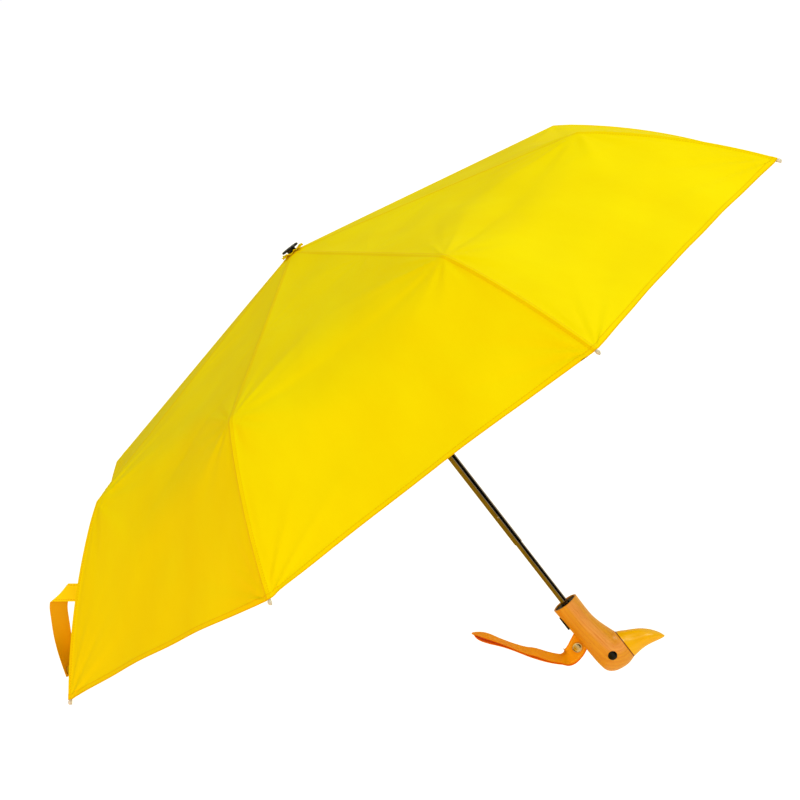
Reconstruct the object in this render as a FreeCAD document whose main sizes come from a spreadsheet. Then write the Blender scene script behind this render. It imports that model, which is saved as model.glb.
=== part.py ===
"""Folding children's umbrella with a duck-head handle, as a parametric FreeCAD assembly.

Frame: +Z runs up the shaft, +X is the way the beak points. The origin lies on the shaft's axis
inside the wooden grip. Heights in the sheet are measured from the lowest point of the handle and
are lowered by grip_height to reach this frame. The umbrella is drawn open.
"""
import FreeCAD, Part
import math
import os

from FreeCAD import Placement, Rotation, Vector

DOCUMENT_NAME = "childrens_umbrella"
X_AXIS = Vector(1, 0, 0)
Y_AXIS = Vector(0, 1, 0)
Z_AXIS = Vector(0, 0, 1)

DIMENSIONS = {
    # heights above the lowest point of the handle
    "grip_height": 60.0,
    "mouth_height": 96.7,
    "pivot_height": 567.0,
    "fabric_apex_height": 575.0,
    "overall_height": 580.0,
    # canopy
    "rib_count": 8,
    "rib_phase": 19.2,
    "knee_radius": 330.0,
    "knee_drop": 72.7,
    "hem_radius": 478.0,
    "hem_drop": 209.0,
    "hem_bow": 7.0,
    "fabric_hole_radius": 4.6,
    "fabric_thickness": 0.9,
    # rib linkage
    "ring_radius": 9.0,
    "ring_wire": 0.45,
    "inner_slope": 12.4,
    "outer_slope": 42.0,
    "top_rib_length": 165.0,
    "middle_rib_length": 165.0,
    "outer_rib_length": 199.5,
    "stretcher_length": 104.0,
    "elbow_rise": 3.0,
    "middle_drop": 2.2,
    "knee_pivot_drop": 4.2,
    "rod_rise": 2.0,
    "rod_bow": 5.5,
    "rod_radius": 1.1,
    "channel_half_depth": 1.3,
    "channel_wall": 0.4,
    "top_rib_width": 3.0,
    "middle_rib_width": 4.2,
    "stretcher_width": 4.3,
    "clip_width": 2.8,
    "ear_radius": 1.4,
    "pin_radius": 0.6,
    "hole_radius": 0.65,
    # telescopic shaft
    "tube_wall": 0.5,
    "lower_radius": 3.9,
    "middle_radius": 4.6,
    "upper_radius": 5.3,
    "lower_bottom": 25.0,
    "lower_top": 195.0,
    "middle_bottom": 180.0,
    "middle_top": 340.0,
    "upper_bottom": 308.0,
    "upper_top": 568.0,
    "spring_radius": 4.15,
    "spring_wire": 0.45,
    "spring_pitch": 11.0,
    # crown, runner and cap
    "hub_radius": 11.8,
    "hub_sleeve_radius": 6.8,
    "crown_slot": 3.6,
    "runner_slot": 4.9,
    "runner_bore": 5.5,
    "cap_radius": 10.0,
    "cap_thickness": 2.5,
    "rosette_radius": 13.8,
    # handle
    "mouth_radius": 14.7,
    "bore_radius": 6.0,
    "bore_bottom": 55.0,
    "seam_x": 23.7,
    "eye_radius": 5.0,
    "eye_x": 5.6,
    "eye_height": 22.3,
    "button_length": 17.0,
    "button_width": 8.0,
    "button_height": 79.0,
    "button_gap": 0.3,
    "button_face": -15.8,
    "button_depth": 6.6,
    "button_travel": 1.8,
    "eye_floor": 12.6,
    "eye_thickness": 2.9,
    "liner_bottom": 89.8,
    "liner_top": 95.6,
    "liner_radius": 12.9,
    # fabric bands
    "strap_width": 20.0,
    "strap_ply": 1.2,
    "strap_gap": 8.0,
    "strap_reach": 92.0,
    "band_width": 16.0,
    "band_thickness": 0.8,
    "band_azimuth": 190.0,
    "band_bulge": 26.0,
}

doc = FreeCAD.newDocument(DOCUMENT_NAME)
sheet = doc.addObject("Spreadsheet::Sheet", "dims")
for row, (alias, value) in enumerate(DIMENSIONS.items(), start=1):
    sheet.set(f"A{row}", alias)
    sheet.set(f"B{row}", str(value))
    sheet.setAlias(f"B{row}", alias)
doc.recompute()

subparts = []


def dim(alias):
    """Read one driving dimension back from the sheet."""
    return float(sheet.get(alias))


def bind(target, **expressions):
    """Bind properties to expressions in which <alias> means a cell of the sheet."""
    for name, expression in expressions.items():
        cells = str(expression).replace("<", "dims.").replace(">", "")
        target.setExpression(name.replace("__", "."), cells)
    return target


def piece(kind, name, base=Vector(), rotation=Rotation(), **expressions):
    """Add one primitive, place it and bind its sizes."""
    made = doc.addObject(kind, name)
    made.Placement = Placement(base, rotation)
    return bind(made, **expressions)


def fuse(name, *shapes):
    joined = doc.addObject("Part::MultiFuse", name)
    joined.Shapes = list(shapes)
    return joined


def cut(name, base, tool):
    result = doc.addObject("Part::Cut", name)
    result.Base = base
    result.Tool = tool
    return result


def subpart(made, label):
    """Register a finished object as a named sub-part."""
    made.Label = label
    subparts.append(made)
    return made


def above(height):
    """Turn a height above the handle's lowest point into this frame's z."""
    return height - dim("grip_height")


def cylinder(name, base, rotation=Rotation(), **expressions):
    return piece("Part::Cylinder", name, base, rotation, **expressions)


def cross_pin(name, along, rise, radius, width):
    """A cylinder across a rib, along its width, at a pivot."""
    return cylinder(name, Vector(), Rotation(X_AXIS, -90), Radius=radius, Height=width,
                    Placement__Base__x=along, Placement__Base__z=rise,
                    Placement__Base__y=f"-({width}) / 2")


def block(name, low, high):
    """A box between two corners, each coordinate a number or an expression of the sheet."""
    made = doc.addObject("Part::Box", name)
    for corner, side, start, end in zip("xyz", ("Length", "Width", "Height"), low, high):
        bind(made, **{f"Placement__Base__{corner}": start, side: f"({end}) - ({start})"})
    return made


def tube(name, bottom, top, outer, wall):
    """A round tube on the shaft's axis, bound to the sheet."""
    body = cylinder(name + "_outer", Vector(0, 0, above(dim(bottom))),
                    Radius=f"<{outer}>", Height=f"<{top}> - <{bottom}>")
    bore = cylinder(name + "_bore", Vector(0, 0, above(dim(bottom)) - 1),
                    Radius=f"<{outer}> - {wall}", Height=f"<{top}> - <{bottom}> + 2")
    return cut(name + "_solid", body, bore)


# ---------------------------------------------------------------- pivots of one rib, radius and height
inner = math.radians(dim("inner_slope"))
along_inner = Vector(math.cos(inner), 0, -math.sin(inner))
up_inner = Vector(math.sin(inner), 0, math.cos(inner))

crown_pivot = Vector(dim("ring_radius"), 0, above(dim("pivot_height")))
elbow_pivot = crown_pivot + along_inner * dim("top_rib_length") + up_inner * dim("elbow_rise")
knee_pivot = (elbow_pivot + along_inner * dim("middle_rib_length")
              - up_inner * dim("knee_pivot_drop"))
stretcher_pivot = crown_pivot + along_inner * dim("stretcher_length")
runner_pivot = Vector(dim("ring_radius"), 0,
                      crown_pivot.z - 2 * dim("stretcher_length") * math.sin(inner))
azimuths = [dim("rib_phase") + 360.0 / dim("rib_count") * number
            for number in range(int(dim("rib_count")))]


# ---------------------------------------------------------------- rib linkage, drawn along local +X
def make_top_rib():
    """U channel from the crown to the elbow, open downward, with raised ears at the elbow."""
    length, rise, depth = "<top_rib_length>", "<elbow_rise>", "<channel_half_depth>"
    width, half, ear = "<top_rib_width>", "<top_rib_width> / 2", "<ear_radius>"
    cheek = "(<top_rib_width> / 2 - <channel_wall>)"
    body = fuse("top_rib_body",
                block("top_rib_bar", (0, f"-{half}", f"-{depth}"), (length, half, depth)),
                cross_pin("top_rib_heel", 0, 0, depth, width),
                block("top_rib_ear", (f"{length} - {ear}", f"-{half}", f"-{depth}"),
                      (f"{length} + {ear}", half, rise)),
                cross_pin("top_rib_ear_round", length, rise, ear, width))
    holes = fuse("top_rib_holes",
                 block("top_rib_hollow", (f"-2 * {depth}", f"-{cheek}", f"-2 * {depth}"),
                       (f"{length} - 2 * {ear}", cheek, f"{depth} - <channel_wall>")),
                 cross_pin("top_rib_crown_hole", 0, 0, "<hole_radius>", f"2 * {width}"),
                 cross_pin("top_rib_stretcher_hole", "<stretcher_length>", 0, "<hole_radius>",
                           f"2 * {width}"),
                 cross_pin("top_rib_elbow_hole", length, rise, "<hole_radius>", f"2 * {width}"))
    return cut("top_rib_solid", body, holes)


def make_middle_rib():
    """U channel from the elbow to the knee, with cheeks and a riveted pin at both ends."""
    length, drop, ear = "<middle_rib_length>", "<knee_pivot_drop>", "<ear_radius>"
    width, half = "<middle_rib_width>", "<middle_rib_width> / 2"
    cheek = "(<middle_rib_width> / 2 - <channel_wall>)"
    top = "(<channel_half_depth> - <middle_drop>)"
    bottom = "(-<channel_half_depth> - <middle_drop>)"
    web_start, web_end = 2.4, f"{length} - 3.8"
    body = fuse("middle_rib_body",
                block("middle_rib_bar", (f"-{ear}", f"-{half}", bottom),
                      (f"{length} + {ear}", half, top)),
                block("middle_rib_elbow_cheek", (f"-{ear}", f"-{half}", bottom), (ear, half, 0)),
                cross_pin("middle_rib_elbow_round", 0, 0, ear, width),
                block("middle_rib_knee_cheek", (f"{length} - {ear}", f"-{half}", f"-{drop}"),
                      (f"{length} + {ear}", half, top)),
                cross_pin("middle_rib_knee_round", length, f"-{drop}", ear, width))
    inside = fuse("middle_rib_inside",
                  block("middle_rib_hollow", (f"-3 * {ear}", f"-{cheek}", f"{bottom} - 3 * {ear}"),
                        (f"{length} + 3 * {ear}", cheek, f"{top} - <channel_wall>")),
                  block("middle_rib_elbow_gap", (f"-3 * {ear}", f"-{cheek}", f"{bottom} - {ear}"),
                        (web_start, cheek, f"3 * {ear}")),
                  block("middle_rib_knee_gap", (web_end, f"-{cheek}", f"{bottom} - 3 * {ear}"),
                        (f"{length} + 3 * {ear}", cheek, f"3 * {ear}")))
    return fuse("middle_rib_solid",
                cut("middle_rib_channel", body, inside),
                cross_pin("middle_rib_elbow_pin", 0, 0, "<pin_radius>", width),
                cross_pin("middle_rib_knee_pin", length, f"-{drop}", "<pin_radius>", width))


def make_outer_rib():
    """Round wire rod, bowed toward the fabric, with a clip that turns on the knee pin."""
    length, rise, bow = dim("outer_rib_length"), dim("rod_rise"), dim("rod_bow")
    chord = math.hypot(length, rise)
    bend = chord ** 2 / (8 * bow) + bow / 2
    sweep = 2 * math.degrees(math.asin(chord / 2 / bend))
    lean = math.atan2(rise, length)
    centre = (Vector(length / 2, 0, rise / 2)
              - Vector(math.sin(lean), 0, math.cos(lean)) * (bend - bow))
    start_angle = 90 - sweep / 2 - math.degrees(lean)
    rod = piece("Part::Torus", "outer_rib_rod", centre,
                Rotation(Y_AXIS, -start_angle) * Rotation(X_AXIS, 90), Radius2="<rod_radius>")
    rod.Radius1 = bend
    rod.Angle3 = sweep
    width, half, depth = "<clip_width>", "<clip_width> / 2", "<channel_half_depth>"
    clip = fuse("outer_rib_clip",
                cross_pin("outer_rib_clip_round", 0, 0, depth, width),
                block("outer_rib_clip_block", (f"-{depth}", f"-{half}", 0),
                      (f"6 * {depth}", half, "<rod_rise> + <rod_radius>")))
    return cut("outer_rib_solid", fuse("outer_rib_body", rod, clip),
               cross_pin("outer_rib_hole", 0, 0, "<hole_radius>", f"2 * {width}"))


def make_rib_tip():
    """Plastic bead on the end of the rod, with the eyelet that the fabric's corner is sewn to."""
    length, rise, bow = dim("outer_rib_length"), dim("rod_rise"), dim("rod_bow")
    end_slope = math.degrees(math.atan2(4 * bow, length) + math.atan2(rise, length))
    bead_start, bead_end, bead_radius, nose_length, nose_radius = -0.6, 3.6, 2.2, 2.2, 1.2
    eyelet_radius, eyelet_wire, socket_slack = 1.9, 0.7, 0.03
    bead = cylinder("rib_tip_bead", Vector(bead_start, 0, 0), Rotation(Y_AXIS, 90))
    bead.Radius, bead.Height = bead_radius, bead_end - bead_start
    nose = piece("Part::Cone", "rib_tip_nose", Vector(bead_end, 0, 0), Rotation(Y_AXIS, 90))
    nose.Radius1, nose.Radius2, nose.Height = bead_radius, nose_radius, nose_length
    ring = piece("Part::Torus", "rib_tip_eyelet",
                 Vector(bead_end + nose_length + eyelet_radius, 0, 0),
                 Rotation(X_AXIS, 90))
    ring.Radius1, ring.Radius2 = eyelet_radius, eyelet_wire
    socket = cylinder("rib_tip_socket", Vector(-bead_end, 0, 0), Rotation(Y_AXIS, 90),
                      Radius=f"<rod_radius> + {socket_slack}")
    socket.Height = bead_end + socket_slack
    solid = cut("rib_tip_solid", fuse("rib_tip_body", bead, nose, ring), socket)
    solid.Placement = Placement(Vector(length, 0, 0), Rotation(Y_AXIS, end_slope))
    return doc_compound("rib_tip_placed", solid)


def make_stretcher():
    """U channel from the top rib to the runner; its web faces up when the umbrella is open."""
    length, width, half = "<stretcher_length>", "<stretcher_width>", "<stretcher_width> / 2"
    cheek = "(<stretcher_width> / 2 - <channel_wall>)"
    web_top, lip, heel, web_start, overrun = 1.9, 1.2, 1.5, 9.0, 4.0
    body = fuse("stretcher_body",
                block("stretcher_bar", (0, f"-{half}", -lip), (length, half, web_top)),
                cross_pin("stretcher_heel", 0, 0, heel, width),
                cross_pin("stretcher_toe", length, 0, lip, width))
    inside = fuse("stretcher_inside",
                  block("stretcher_hollow", (-overrun, f"-{cheek}", -overrun),
                        (f"{length} + {overrun}", cheek, f"{web_top} - <channel_wall>")),
                  block("stretcher_heel_gap", (-overrun, f"-{cheek}", -overrun),
                        (web_start, cheek, overrun)),
                  cross_pin("stretcher_runner_hole", length, 0, "<hole_radius>", f"2 * {width}"))
    return fuse("stretcher_solid", cut("stretcher_channel", body, inside),
                cross_pin("stretcher_pin", 0, 0, "<pin_radius>", width))


def doc_compound(name, *shapes):
    made = doc.addObject("Part::Compound", name)
    made.Links = list(shapes)
    return made


def around(azimuth, pivot, pitch, flip=False):
    """Placement of a rib drawn along local +X: pitched about its pivot, then turned to its azimuth."""
    turn = Rotation(Z_AXIS, azimuth)
    tilt = Rotation(Y_AXIS, pitch)
    if flip:
        tilt = tilt * Rotation(X_AXIS, 180)
    return Placement(turn.multVec(pivot), turn * tilt)


linkage = {
    "top_rib": (make_top_rib(), crown_pivot, dim("inner_slope"), False),
    "middle_rib": (make_middle_rib(), elbow_pivot, dim("inner_slope"), False),
    "outer_rib": (make_outer_rib(), knee_pivot, dim("outer_slope"), False),
    "rib_tip": (make_rib_tip(), knee_pivot, dim("outer_slope"), False),
    "stretcher": (make_stretcher(), stretcher_pivot, 180 - dim("inner_slope"), True),
}
for name, (master, pivot, pitch, flip) in linkage.items():
    for number, azimuth in enumerate(azimuths, start=1):
        copy = doc_compound(f"{name}_{number}_copy", master)
        copy.Placement = around(azimuth, pivot, pitch, flip)
        subpart(copy, f"{name}_{number}")


# ---------------------------------------------------------------- shaft
subpart(tube("lower_tube", "lower_bottom", "lower_top", "lower_radius", "<tube_wall>"), "lower_tube")
subpart(tube("middle_tube", "middle_bottom", "middle_top", "middle_radius", "<tube_wall>"),
        "middle_tube")
subpart(tube("upper_tube", "upper_bottom", "upper_top", "upper_radius", "<tube_wall>"), "upper_tube")


def make_opening_spring():
    """Compression spring in the upper tube, between the middle tube's rim and the crown's plug."""
    clearance = 0.3
    bottom = above(dim("middle_top")) + dim("spring_wire") + clearance
    helix = piece("Part::Helix", "spring_path", Vector(0, 0, bottom),
                  Radius="<spring_radius>", Pitch="<spring_pitch>",
                  Height="<pivot_height> - 10 - <middle_top> - 2 * <spring_wire>")
    profile = piece("Part::Circle", "spring_wire_section", Vector(dim("spring_radius"), 0, bottom),
                    Rotation(X_AXIS, 90), Radius="<spring_wire>")
    sweep = doc.addObject("Part::Sweep", "spring_sweep")
    doc.recompute()
    sweep.Sections = [profile]
    sweep.Spine = (helix, ["Edge1"])
    sweep.Solid = True
    sweep.Frenet = True
    return sweep


subpart(make_opening_spring(), "opening_spring")


# ---------------------------------------------------------------- crown, runner, cap
def slotted_hub(name, pivot_z, low, high, slot, sleeve_radius):
    """Disc of teeth with one radial slot per rib, cut from the given sleeve radius outward."""
    disc = cylinder(name + "_disc", Vector(0, 0, pivot_z + low), Radius="<hub_radius>")
    disc.Height = high - low
    slots = []
    for number, azimuth in enumerate(azimuths, start=1):
        cutter = piece("Part::Box", f"{name}_slot_{number}", Width=slot)
        cutter.Length, cutter.Height = 2 * sleeve_radius, 10 * sleeve_radius
        start = Vector(sleeve_radius, -dim(slot.strip("<>")) / 2, pivot_z - 5 * sleeve_radius)
        turn = Rotation(Z_AXIS, azimuth)
        cutter.Placement = Placement(turn.multVec(start), turn)
        slots.append(cutter)
    return cut(name + "_teeth", disc, fuse(name + "_slots", *slots))


def make_crown():
    """Top notch: toothed disc under a plain plate, with a sleeve on the tube and a spigot above."""
    pivot_z = crown_pivot.z
    sleeve_radius, plate_bottom, plate_top = 7.3, 1.9, 3.9
    teeth_bottom, sleeve_bottom, socket_bottom = -5.0, -8.0, -20.0
    spigot_radius, spigot_rise, screw_radius, screw_depth = 4.0, 1.5, 2.0, 20.0
    socket_slack, groove_wire = 0.05, 0.5
    teeth = slotted_hub("crown", pivot_z, teeth_bottom, plate_bottom, "<crown_slot>", sleeve_radius)
    plate = cylinder("crown_plate", Vector(0, 0, pivot_z + plate_bottom), Radius="<hub_radius>")
    plate.Height = plate_top - plate_bottom
    sleeve = cylinder("crown_sleeve", Vector(0, 0, pivot_z + sleeve_bottom))
    sleeve.Radius, sleeve.Height = sleeve_radius, plate_bottom - sleeve_bottom
    spigot = cylinder("crown_spigot", Vector(0, 0, pivot_z + plate_bottom))
    spigot.Radius = spigot_radius
    bind(spigot, Height=f"<fabric_apex_height> + {spigot_rise} - <pivot_height> - {plate_bottom}")
    socket = cylinder("crown_tube_socket", Vector(0, 0, pivot_z + socket_bottom),
                      Radius=f"<upper_radius> + {socket_slack}",
                      Height=f"<upper_top> - <pivot_height> - ({socket_bottom})")
    screw_hole = cylinder("crown_screw_hole", Vector(0, 0, pivot_z + plate_bottom))
    screw_hole.Radius, screw_hole.Height = screw_radius, screw_depth
    groove = piece("Part::Torus", "crown_ring_groove", Vector(0, 0, pivot_z), Radius1="<ring_radius>")
    groove.Radius2 = groove_wire
    return cut("crown_solid", fuse("crown_body", teeth, plate, sleeve, spigot),
               fuse("crown_hollows", socket, screw_hole, groove))


def make_runner():
    """Sliding notch: toothed disc on a long sleeve. Its slots are open downward and outward."""
    pivot_z = runner_pivot.z
    sleeve_bottom, sleeve_top, lip_radius, lip_height = -13.5, 8.0, 7.6, 2.0
    half_teeth, slot_floor_radius, bore_overrun = 4.5, 6.4, 20.0
    teeth = slotted_hub("runner", pivot_z, -half_teeth, half_teeth, "<runner_slot>",
                        slot_floor_radius)
    sleeve = cylinder("runner_sleeve", Vector(0, 0, pivot_z + sleeve_bottom),
                      Radius="<hub_sleeve_radius>")
    sleeve.Height = sleeve_top - sleeve_bottom
    lip = cylinder("runner_lip", Vector(0, 0, pivot_z + sleeve_bottom))
    lip.Radius, lip.Height = lip_radius, lip_height
    bore = cylinder("runner_bore_cut", Vector(0, 0, pivot_z + sleeve_bottom - bore_overrun),
                    Radius="<runner_bore>")
    bore.Height = sleeve_top - sleeve_bottom + 2 * bore_overrun
    return cut("runner_solid", fuse("runner_body", teeth, sleeve, lip), bore)


def make_top_cap():
    """Black disc that holds the fabric down, with a short neck and a stem in the crown."""
    disc = cylinder("cap_disc", Vector(0, 0, above(dim("overall_height") - dim("cap_thickness"))),
                    Radius="<cap_radius>", Height="<cap_thickness>")
    neck_radius, neck_start, neck_height = 5.0, 1.6, 1.4
    stem_radius, stem_start, stem_height, rim_radius = 1.95, 2.5, 10.0, 1.0
    neck = cylinder("cap_neck", Vector(0, 0, above(dim("fabric_apex_height") + neck_start)))
    neck.Radius, neck.Height = neck_radius, neck_height
    stem = cylinder("cap_stem", Vector(0, 0, above(dim("pivot_height") + stem_start)))
    stem.Radius, stem.Height = stem_radius, stem_height
    rounded = doc.addObject("Part::Fillet", "cap_rounded")
    doc.recompute()
    rounded.Base = disc
    rim = [index for index, edge in enumerate(disc.Shape.Edges, start=1)
           if abs(edge.BoundBox.ZMin - disc.Shape.BoundBox.ZMax) < 1e-6]
    rounded.Edges = [(index, rim_radius, rim_radius) for index in rim]
    return fuse("cap_solid", rounded, neck, stem)


subpart(make_crown(), "crown")
subpart(make_runner(), "runner")
subpart(piece("Part::Torus", "crown_ring_wire", crown_pivot - Vector(crown_pivot.x, 0, 0),
              Radius1="<ring_radius>", Radius2="<ring_wire>"), "crown_ring")
subpart(make_top_cap(), "top_cap")
rosette_lift, rosette_thickness, rosette_hole_radius = 0.4, 0.9, 4.2
rosette_disc = cylinder("rosette_disc", Vector(0, 0, above(dim("fabric_apex_height") + rosette_lift)),
                        Radius="<rosette_radius>")
rosette_hole = cylinder("rosette_hole", Vector(0, 0, above(dim("fabric_apex_height"))))
rosette_disc.Height = rosette_thickness
rosette_hole.Radius, rosette_hole.Height = rosette_hole_radius, 4 * rosette_thickness
subpart(cut("rosette_solid", rosette_disc, rosette_hole), "rosette")


# ---------------------------------------------------------------- canopy
def canopy_profile():
    """Radius and height of the fabric along a rib: straight to the knee, then bowed to the hem."""
    apex, knee, hem = dim("fabric_apex_height"), dim("knee_radius"), dim("hem_radius")
    slope = dim("knee_drop") / knee
    hole = dim("fabric_hole_radius")
    points = [(hole, apex - slope * hole), (knee, apex - dim("knee_drop"))]
    run, fall = hem - knee, dim("hem_drop") - dim("knee_drop")
    length = math.hypot(run, fall)
    steps = 4
    for step in range(1, steps + 1):
        share = step / steps
        lift = dim("hem_bow") * 4 * share * (1 - share)
        points.append((knee + run * share + lift * fall / length,
                       apex - dim("knee_drop") - fall * share + lift * run / length))
    return points


def make_canopy():
    """One closed skin of flat facets between neighbouring ribs."""
    drop = Vector(0, 0, -dim("fabric_thickness"))
    rings = [[Rotation(Z_AXIS, azimuth).multVec(Vector(radius, 0, above(height)))
              for azimuth in azimuths] for radius, height in canopy_profile()]
    faces = []

    def facet(*corners):
        faces.append(Part.Face(Part.makePolygon(list(corners) + [corners[0]])))

    count = len(azimuths)
    for side in range(count):
        following = (side + 1) % count
        for upper_ring, lower_ring in zip(rings, rings[1:]):
            corners = [upper_ring[side], lower_ring[side], lower_ring[following],
                       upper_ring[following]]
            facet(*corners)
            facet(*[corner + drop for corner in reversed(corners)])
        for ring in (rings[0], rings[-1]):
            facet(ring[side], ring[following], ring[following] + drop, ring[side] + drop)
    solid = Part.Solid(Part.Shell(faces))
    if solid.Volume < 0:
        solid.reverse()
    skin = doc.addObject("Part::Feature", "canopy_skin")
    skin.Shape = solid
    return skin


subpart(make_canopy(), "canopy")


# ---------------------------------------------------------------- handle
def ellipse_loft(name, stations, turn):
    """Loft through ellipses; each station is (centre, half size one way, half size the other)."""
    sections = []
    for number, (centre, first, second) in enumerate(stations):
        section = doc.addObject("Part::Ellipse", f"{name}_section_{number}")
        section.MajorRadius, section.MinorRadius = max(first, second), min(first, second)
        own_turn = Rotation(Z_AXIS, 90) if second > first else Rotation()
        section.Placement = Placement(Vector(*centre), turn * own_turn)
        sections.append(section)
    loft = doc.addObject("Part::Loft", name)
    loft.Sections = sections
    loft.Solid = True
    return loft


def handle_outline():
    """Neck and head of the duck: the neck is lofted up the shaft, the head toward the beak."""
    mouth = dim("mouth_radius")
    neck = ellipse_loft("neck", [
        ((0.9, 0, above(22)), 12.6, 11.0),
        ((2.9, 0, above(40)), 15.4, 13.6),
        ((2.1, 0, above(56)), 15.0, 14.0),
        ((0.5, 0, above(72)), 14.2, 14.2),
        ((0, 0, above(dim("mouth_height"))), mouth, mouth)], Rotation())
    head = ellipse_loft("head", [
        ((-11.5, 0, above(20)), 5.0, 4.5),
        ((-5.0, 0, above(18.6)), 13.4, 11.4),
        ((4.0, 0, above(19.4)), 16.0, 14.6),
        ((14.0, 0, above(20.3)), 17.0, 15.2),
        ((dim("seam_x"), 0, above(20.4)), 16.9, 14.6)], Rotation(Y_AXIS, 90))
    return fuse("handle_outline", neck, head)


def make_handle_body():
    seat_slack = 0.02
    bore = cylinder("handle_bore", Vector(0, 0, above(dim("bore_bottom"))),
                    Radius="<bore_radius>", Height="<mouth_height>")
    tube_seat = cylinder("handle_tube_seat", Vector(0, 0, above(dim("lower_bottom"))),
                         Radius=f"<lower_radius> + {seat_slack}", Height="<mouth_height>")
    liner_seat = cylinder("handle_liner_seat", Vector(0, 0, above(dim("liner_bottom"))),
                          Radius="<liner_radius>", Height="<mouth_height>")
    eye_seats = [eye_cylinder(f"eye_seat_{side}", side, f"<eye_radius> + {seat_slack}",
                              "4 * <eye_thickness>") for side in ("left", "right")]
    pocket = rounded_slot("button_pocket", dim("button_face") - dim("button_depth"),
                          dim("button_face") + dim("button_depth") + dim("button_travel")
                          + dim("button_gap"), dim("button_gap"))
    return cut("handle_solid", handle_outline(),
               fuse("handle_hollows", bore, tube_seat, liner_seat, pocket, *eye_seats))


def eye_cylinder(name, side, radius, height):
    """A cylinder that stands on the eye's seat and points out of the head's side."""
    sign = -1 if side == "left" else 1
    floor = Vector(dim("eye_x"), sign * dim("eye_floor"), above(dim("eye_height")))
    return cylinder(name, floor, Rotation(X_AXIS, -90 * sign), Radius=radius, Height=height)


def rounded_slot(name, start_x, end_x, margin):
    """A slot with round ends, upright on the -X side of the handle, from start_x to end_x."""
    radius = dim("button_width") / 2 + margin
    reach = dim("button_length") / 2 - dim("button_width") / 2
    middle = above(dim("button_height"))
    ends = []
    for number, shift in enumerate((-reach, reach)):
        end = cylinder(f"{name}_end_{number}", Vector(start_x, 0, middle + shift), Rotation(Y_AXIS, 90))
        end.Radius, end.Height = radius, end_x - start_x
        ends.append(end)
    core = block(f"{name}_core", (start_x, -radius, middle - reach),
                 (end_x, radius, middle + reach))
    return fuse(name, core, *ends)


subpart(make_handle_body(), "handle_body")

subpart(ellipse_loft("beak_loft", [
    ((dim("seam_x"), 0, above(20.4)), 16.9, 14.6),
    ((33.4, 0, above(18.3)), 13.8, 12.8),
    ((43.0, 0, above(15.2)), 10.8, 11.0),
    ((52.0, 0, above(10.9)), 8.4, 9.0),
    ((58.5, 0, above(6.3)), 5.8, 6.4),
    ((62.8, 0, above(3.0)), 2.4, 3.0)], Rotation(Y_AXIS, 90)), "beak")

eyes = []
eye_rounding = 1.6
for side in ("left", "right"):
    eye = eye_cylinder(f"eye_{side}", side, "<eye_radius>", "<eye_thickness>")
    dome = doc.addObject("Part::Fillet", f"eye_dome_{side}")
    doc.recompute()
    dome.Base = eye
    far_y = max(abs(vertex.Point.y) for vertex in eye.Shape.Vertexes)
    dome.Edges = [(index, eye_rounding, eye_rounding)
                  for index, edge in enumerate(eye.Shape.Edges, start=1)
                  if all(abs(abs(vertex.Point.y) - far_y) < 1e-6 for vertex in edge.Vertexes)]
    eyes.append(dome)
subpart(doc_compound("eye_pair", *eyes), "eyes")

liner_slack, liner_play, liner_overrun = 0.02, 0.4, 1.0
liner = cylinder("liner_sleeve", Vector(0, 0, above(dim("liner_bottom"))),
                 Radius=f"<liner_radius> - {liner_slack}", Height="<liner_top> - <liner_bottom>")
liner_bore = cylinder("liner_bore", Vector(0, 0, above(dim("liner_bottom")) - liner_overrun),
                      Radius=f"<upper_radius> + {liner_play}",
                      Height=f"<liner_top> - <liner_bottom> + 2 * {liner_overrun}")
subpart(cut("liner_solid", liner, liner_bore), "handle_liner")

subpart(rounded_slot("button_solid", dim("button_face"), dim("button_face") + dim("button_depth"), 0),
        "push_button")


# ---------------------------------------------------------------- wrist strap
STRAP_ROOT = Vector(-11.4, 0, above(51.5))
STRAP_FOLD = Vector(-47.0, 0, above(52.0))
STRAP_LIFT = 57.0


def make_wrist_strap():
    """Doubled ribbon beside the grip, then the open hand loop that it folds into."""
    ply, gap, reach = dim("strap_ply"), dim("strap_gap"), dim("strap_reach")
    half_gap = gap / 2
    half_width = dim("strap_width") / 2
    root = block("strap_root",
                 (STRAP_FOLD.x - ply, -1.5 * ply, STRAP_ROOT.z - half_width),
                 (STRAP_ROOT.x, 1.5 * ply, STRAP_ROOT.z + half_width))
    loops = []
    for number, radius in enumerate((half_gap + ply, half_gap)):
        ends = [cylinder(f"strap_loop_{number}_{int(shift)}", Vector(shift, 0, 0),
                         Rotation(X_AXIS, -90), Height="<strap_width>") for shift in (0, reach)]
        for end in ends:
            end.Radius = radius
        core = block(f"strap_loop_{number}_core", (0, 0, -radius), (reach, dim("strap_width"), radius))
        loops.append(fuse(f"strap_loop_{number}_all", core, *ends))
    loop = cut("strap_loop", *loops)
    loop.Placement = Placement(STRAP_FOLD + Vector(0, -half_width, 0),
                               Rotation(Y_AXIS, -(180 - STRAP_LIFT)))
    return fuse("strap_solid", root, loop)


subpart(make_wrist_strap(), "wrist_strap")


def snap_button(name, centre, axis_turn, spacing):
    """Snap fastener: a cap and a smaller socket either side of the ribbon, spacing apart."""
    cap_radius, cap_height, socket_radius, socket_height = 5.5, 1.2, 4.5, 1.0
    cap = cylinder(name + "_cap", Vector(0, 0, spacing / 2))
    socket = cylinder(name + "_socket", Vector(0, 0, -spacing / 2 - socket_height))
    cap.Radius, cap.Height = cap_radius, cap_height
    socket.Radius, socket.Height = socket_radius, socket_height
    pair = doc_compound(name, cap, socket)
    pair.Placement = Placement(centre, axis_turn)
    return pair


SNAP_CENTRE = Vector(-24.0, 0, above(50.5))
SNAP_SLACK = 0.02
subpart(snap_button("strap_snap_pair", SNAP_CENTRE, Rotation(X_AXIS, 90),
                    3 * dim("strap_ply") + SNAP_SLACK), "strap_snap")


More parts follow.
